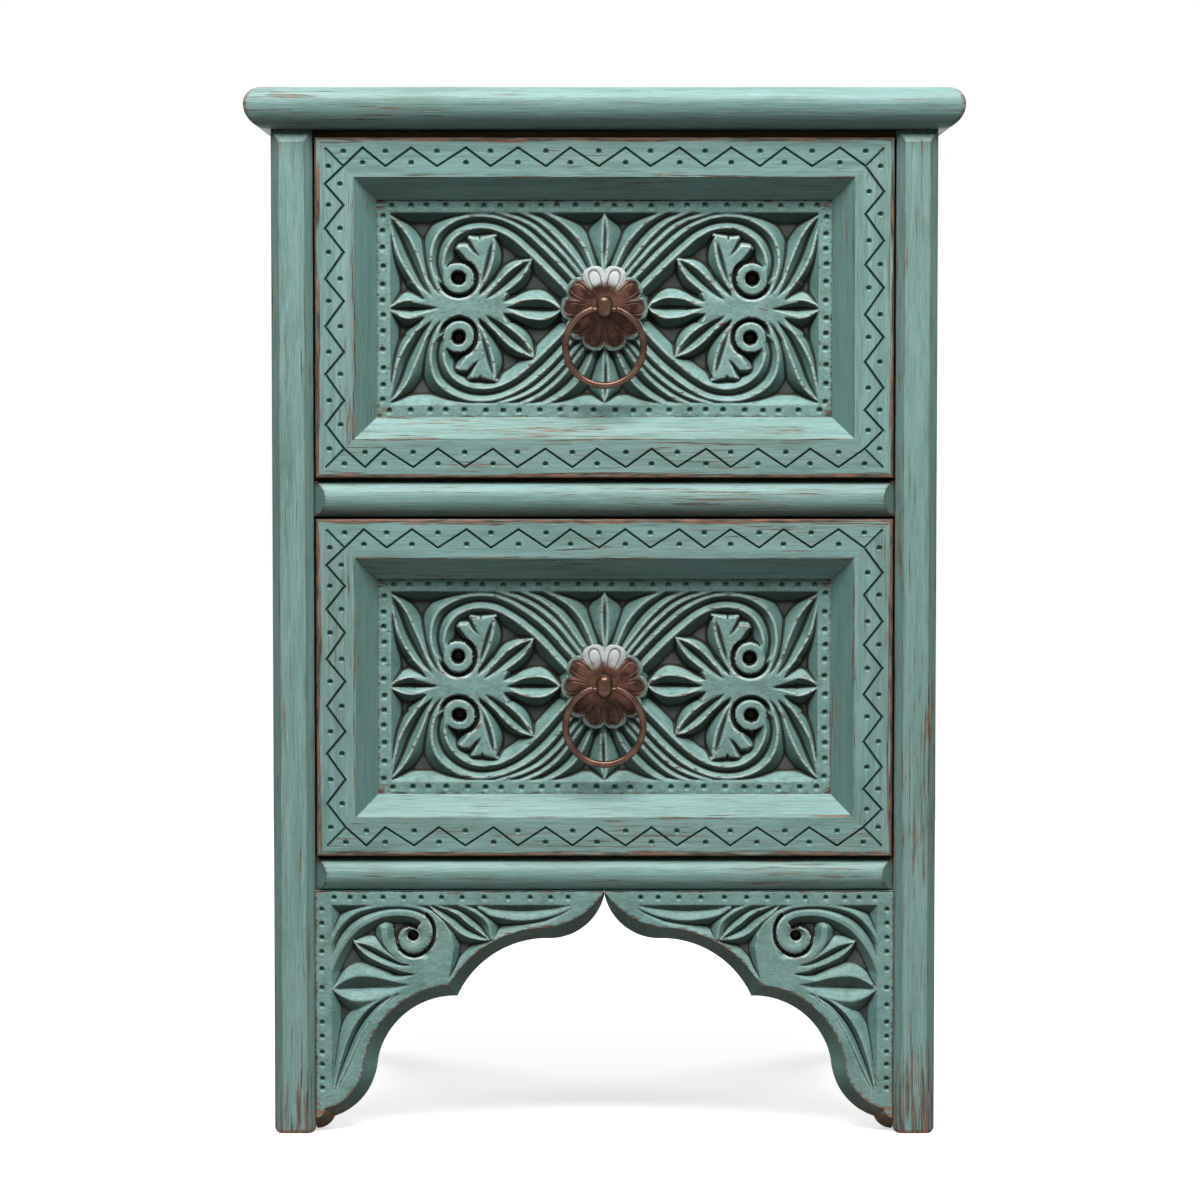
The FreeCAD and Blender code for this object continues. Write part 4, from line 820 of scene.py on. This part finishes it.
ROSETTE_BROWN = ((0.035, 0.015, 0.010, 1), (0.115, 0.055, 0.038, 1))
RING_BROWN = ((0.075, 0.040, 0.028, 1), (0.120, 0.068, 0.050, 1))
rosette_copper = old_copper("rosette_copper", 0.2, *ROSETTE_BROWN, dents=0.5, patina=True)
ring_copper = old_copper("ring_copper", 0.75, *RING_BROWN, dents=0.15, patina=False)


def beat_rosette(drawer):
    """Ten cupped petals on a low dome, each with a loop engraved in it."""
    low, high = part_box(drawer + "_pull_rosette")
    radius = (high.x - low.x) / 2 / MM
    front = low.y / MM
    back = high.y / MM
    centre_x = (low.x + high.x) / 2 / MM
    centre_z = (low.z + high.z) / 2 / MM
    turns = np.linspace(0, 2 * math.pi, PETALS * PETAL_STEPS, endpoint=False)
    shares = np.linspace(0, 1, ROSETTE_RINGS)
    turn, share = np.meshgrid(turns, shares)
    pitch = 2 * math.pi / PETALS
    swing = ((turn / pitch) % 1.0 - 0.5) * 2
    outline = radius * (0.80 + 0.20 * np.sqrt(1 - np.abs(swing) ** 2.4))
    r = ROSETTE_BORE + share * (outline - ROSETTE_BORE)
    dome = ROSETTE_DOME * np.clip(1 - (r / radius) ** 2, 0, 1) ** 0.9
    side = np.abs(swing)
    length = np.clip((r - 0.42 * radius) / (0.58 * radius), 0, 1)
    valley = -PETAL_VALLEY * np.clip((side - 0.62) / 0.38, 0, 1) ** 1.5 * length
    loop = np.hypot(side / 0.60, np.clip(length - 0.42, 0, None) / 0.42)
    groove = np.clip(1 - np.abs(loop - 1) / 0.16, 0, 1) * np.clip(6 * length, 0, 1)
    lip = PETAL_LIP * np.clip((share - 0.86) / 0.14, 0, 1)
    height = ROSETTE_EDGE + dome + valley + lip - ENGRAVED_DEPTH * groove
    height = np.clip(height, THINNEST_COPPER, back - front)
    x = centre_x + r * np.sin(turn)
    z = centre_z + r * np.cos(turn)
    rows, columns = r.shape
    front_points = np.stack([x, back - height, z], -1).reshape(-1, 3)
    back_points = np.stack([x[[0, -1]], np.full((2, columns), back), z[[0, -1]]], -1).reshape(-1, 3)
    index = np.arange((rows + 2) * columns).reshape(rows + 2, columns)
    strips = [(rows, 0), (rows - 1, rows + 1), (rows + 1, rows)] + [(i, i + 1) for i in range(rows - 1)]
    faces = []
    for near, far in strips:
        for i in range(columns):
            j = (i + 1) % columns
            faces.append((int(index[near, i]), int(index[near, j]), int(index[far, j]), int(index[far, i])))
    points = np.vstack([front_points, back_points])
    rosette = shaped_piece(drawer + "_rosette_petals", points, faces, 3 * columns, rosette_copper)
    rim = np.clip((share - 0.55) / 0.45, 0, 1)
    hidden = np.zeros(2 * columns)
    carry(rosette, "rim", np.concatenate([rim.ravel(), hidden]))
    carry(rosette, "groove", np.concatenate([(0.8 * groove).ravel(), hidden]))
    # The top petals carry a value for their pale colour, partly verdigris and partly painted reflection.
    top_petals = np.cos(turn) > math.cos(1.02 * pitch)
    carry(rosette, "pale_and_highlight", np.concatenate([(top_petals * length ** 0.5).ravel(), hidden]))
    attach(rosette, drawer)
    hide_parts(drawer + "_pull_rosette")


for drawer in drawers:
    beat_rosette(drawer)
    cover(ring_copper, [drawer + "_pull_knob", drawer + "_pull_ring"])
    cover(screw_steel, [drawer + "_pull_nut"])

# Floor
# A sheet of white studio paper, seen as white with a faint shadow under the chest.
# Only the part by the feet throws light back, so faces higher up that look down stay dark.
paper_reach = 1.6
paper_corners = [(-paper_reach, -paper_reach, 0), (paper_reach, -paper_reach, 0)]
paper_corners += [(paper_reach, paper_reach, 0), (-paper_reach, paper_reach, 0)]
paper_mesh = bpy.data.meshes.new("studio_paper")
paper_mesh.from_pydata(paper_corners, [], [(0, 1, 2, 3)])
paper = bpy.data.objects.new("studio_paper", paper_mesh)
bpy.context.scene.collection.objects.link(paper)


def seen_or_mirrored(tree):
    """1 where the eye, a shiny face or a clear one looks at the paper itself, and 0 for plain light."""
    ray = tree.nodes.new("ShaderNodeLightPath").outputs
    share = ray["Is Camera Ray"]
    for kind in ("Is Glossy Ray", "Is Transmission Ray"):
        either = tree.nodes.new("ShaderNodeMath")
        either.operation = "MAXIMUM"
        tree.links.new(share, either.inputs[0])
        tree.links.new(ray[kind], either.inputs[1])
        share = either.outputs[0]
    return share


sheet = bpy.data.materials.new("white_paper")
sheet.use_nodes = True
sheet.node_tree.nodes.clear()
sheet_node = sheet.node_tree.nodes.new
sheet_link = sheet.node_tree.links.new
sheet_glow = sheet_node("ShaderNodeEmission")
sheet_glow.inputs["Strength"].default_value = 0.62
sheet_lit = sheet_node("ShaderNodeBsdfDiffuse")
sheet_lit.inputs["Color"].default_value = (0.55, 0.55, 0.55, 1)
sheet_seen = sheet_node("ShaderNodeAddShader")
sheet_dim = sheet_node("ShaderNodeBsdfDiffuse")
sheet_place = sheet_node("ShaderNodeNewGeometry")
sheet_away = sheet_node("ShaderNodeVectorMath")
sheet_away.operation = "LENGTH"
sheet_shade = sheet_node("ShaderNodeMapRange")
sheet_shade.inputs["From Min"].default_value = 0.45
sheet_shade.inputs["From Max"].default_value = 0.75
sheet_shade.inputs["To Min"].default_value = 0.22
sheet_shade.inputs["To Max"].default_value = 0.03
sheet_link(sheet_place.outputs["Position"], sheet_away.inputs[0])
sheet_link(sheet_away.outputs["Value"], sheet_shade.inputs["Value"])
sheet_link(sheet_shade.outputs["Result"], sheet_dim.inputs["Color"])
sheet_choice = sheet_node("ShaderNodeMixShader")
sheet_link(sheet_glow.outputs[0], sheet_seen.inputs[0])
sheet_link(sheet_lit.outputs[0], sheet_seen.inputs[1])
sheet_link(seen_or_mirrored(sheet.node_tree), sheet_choice.inputs[0])
sheet_link(sheet_dim.outputs[0], sheet_choice.inputs[1])
sheet_link(sheet_seen.outputs[0], sheet_choice.inputs[2])
sheet_link(sheet_choice.outputs[0], sheet_node("ShaderNodeOutputMaterial").inputs["Surface"])
paper_mesh.materials.append(sheet)

# Light
# One broad soft lamp above and in front, a softer one behind each shoulder of the chest
# for its sides and back, a plain white backdrop and very little fill.
studio = bpy.data.worlds.new("studio")
bpy.context.scene.world = studio
studio.use_nodes = True
studio.node_tree.nodes.clear()
studio_node = studio.node_tree.nodes.new
studio_link = studio.node_tree.links.new
backdrop = studio_node("ShaderNodeBackground")
backdrop.inputs["Color"].default_value = (1, 1, 1, 1)
room_fill = studio_node("ShaderNodeBackground")
room_fill.inputs["Color"].default_value = (1, 0.95, 0.78, 1)
room_fill.inputs["Strength"].default_value = 0.05
studio_choice = studio_node("ShaderNodeMixShader")
studio_link(seen_or_mirrored(studio.node_tree), studio_choice.inputs[0])
studio_link(room_fill.outputs[0], studio_choice.inputs[1])
studio_link(backdrop.outputs[0], studio_choice.inputs[2])
studio_link(studio_choice.outputs[0], studio_node("ShaderNodeOutputWorld").inputs["Surface"])

post_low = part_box("front_post_left")[0]
lamp_angle = math.radians(60)
lamp_away = 2.5
lamp_light = bpy.data.lights.new("soft_lamp", "AREA")
lamp_light.shape = "RECTANGLE"
lamp_light.size = 2.4
lamp_light.size_y = 1.2
lamp_light.energy = 136.0
lamp = bpy.data.objects.new("soft_lamp", lamp_light)
lamp.location = (0, post_low.y - lamp_away * math.cos(lamp_angle), 0.36 + lamp_away * math.sin(lamp_angle))
lamp.rotation_euler = (math.pi / 2 - lamp_angle, 0, 0)
bpy.context.scene.collection.objects.link(lamp)
for side in (-1, 1):
    side_light = bpy.data.lights.new("side_lamp", "AREA")
    side_light.size = 1.2
    side_light.energy = 50.0
    side_lamp = bpy.data.objects.new("side_lamp", side_light)
    side_lamp.location = (side * 1.6, 1.9, 1.2)
    side_lamp.rotation_euler = Vector((-side * 1.6, -1.9, -0.85)).to_track_quat("-Z", "Y").to_euler()
    side_lamp.visible_glossy = False
    bpy.context.scene.collection.objects.link(side_lamp)

# Camera
# It stands square in front of the chest with a long lens, a little above the middle of
# the drawers, and looks slightly down.
view = bpy.data.cameras.new("front_view")
view.lens = 116.4
view.sensor_width = 36
camera = bpy.data.objects.new("front_view", view)
camera.location = (-0.0028, post_low.y - 2.437, 0.4736)
camera.rotation_euler = (math.radians(90 - 3.17), 0, 0)
bpy.context.scene.collection.objects.link(camera)
bpy.context.scene.camera = camera
bpy.context.scene.view_settings.view_transform = "Standard"
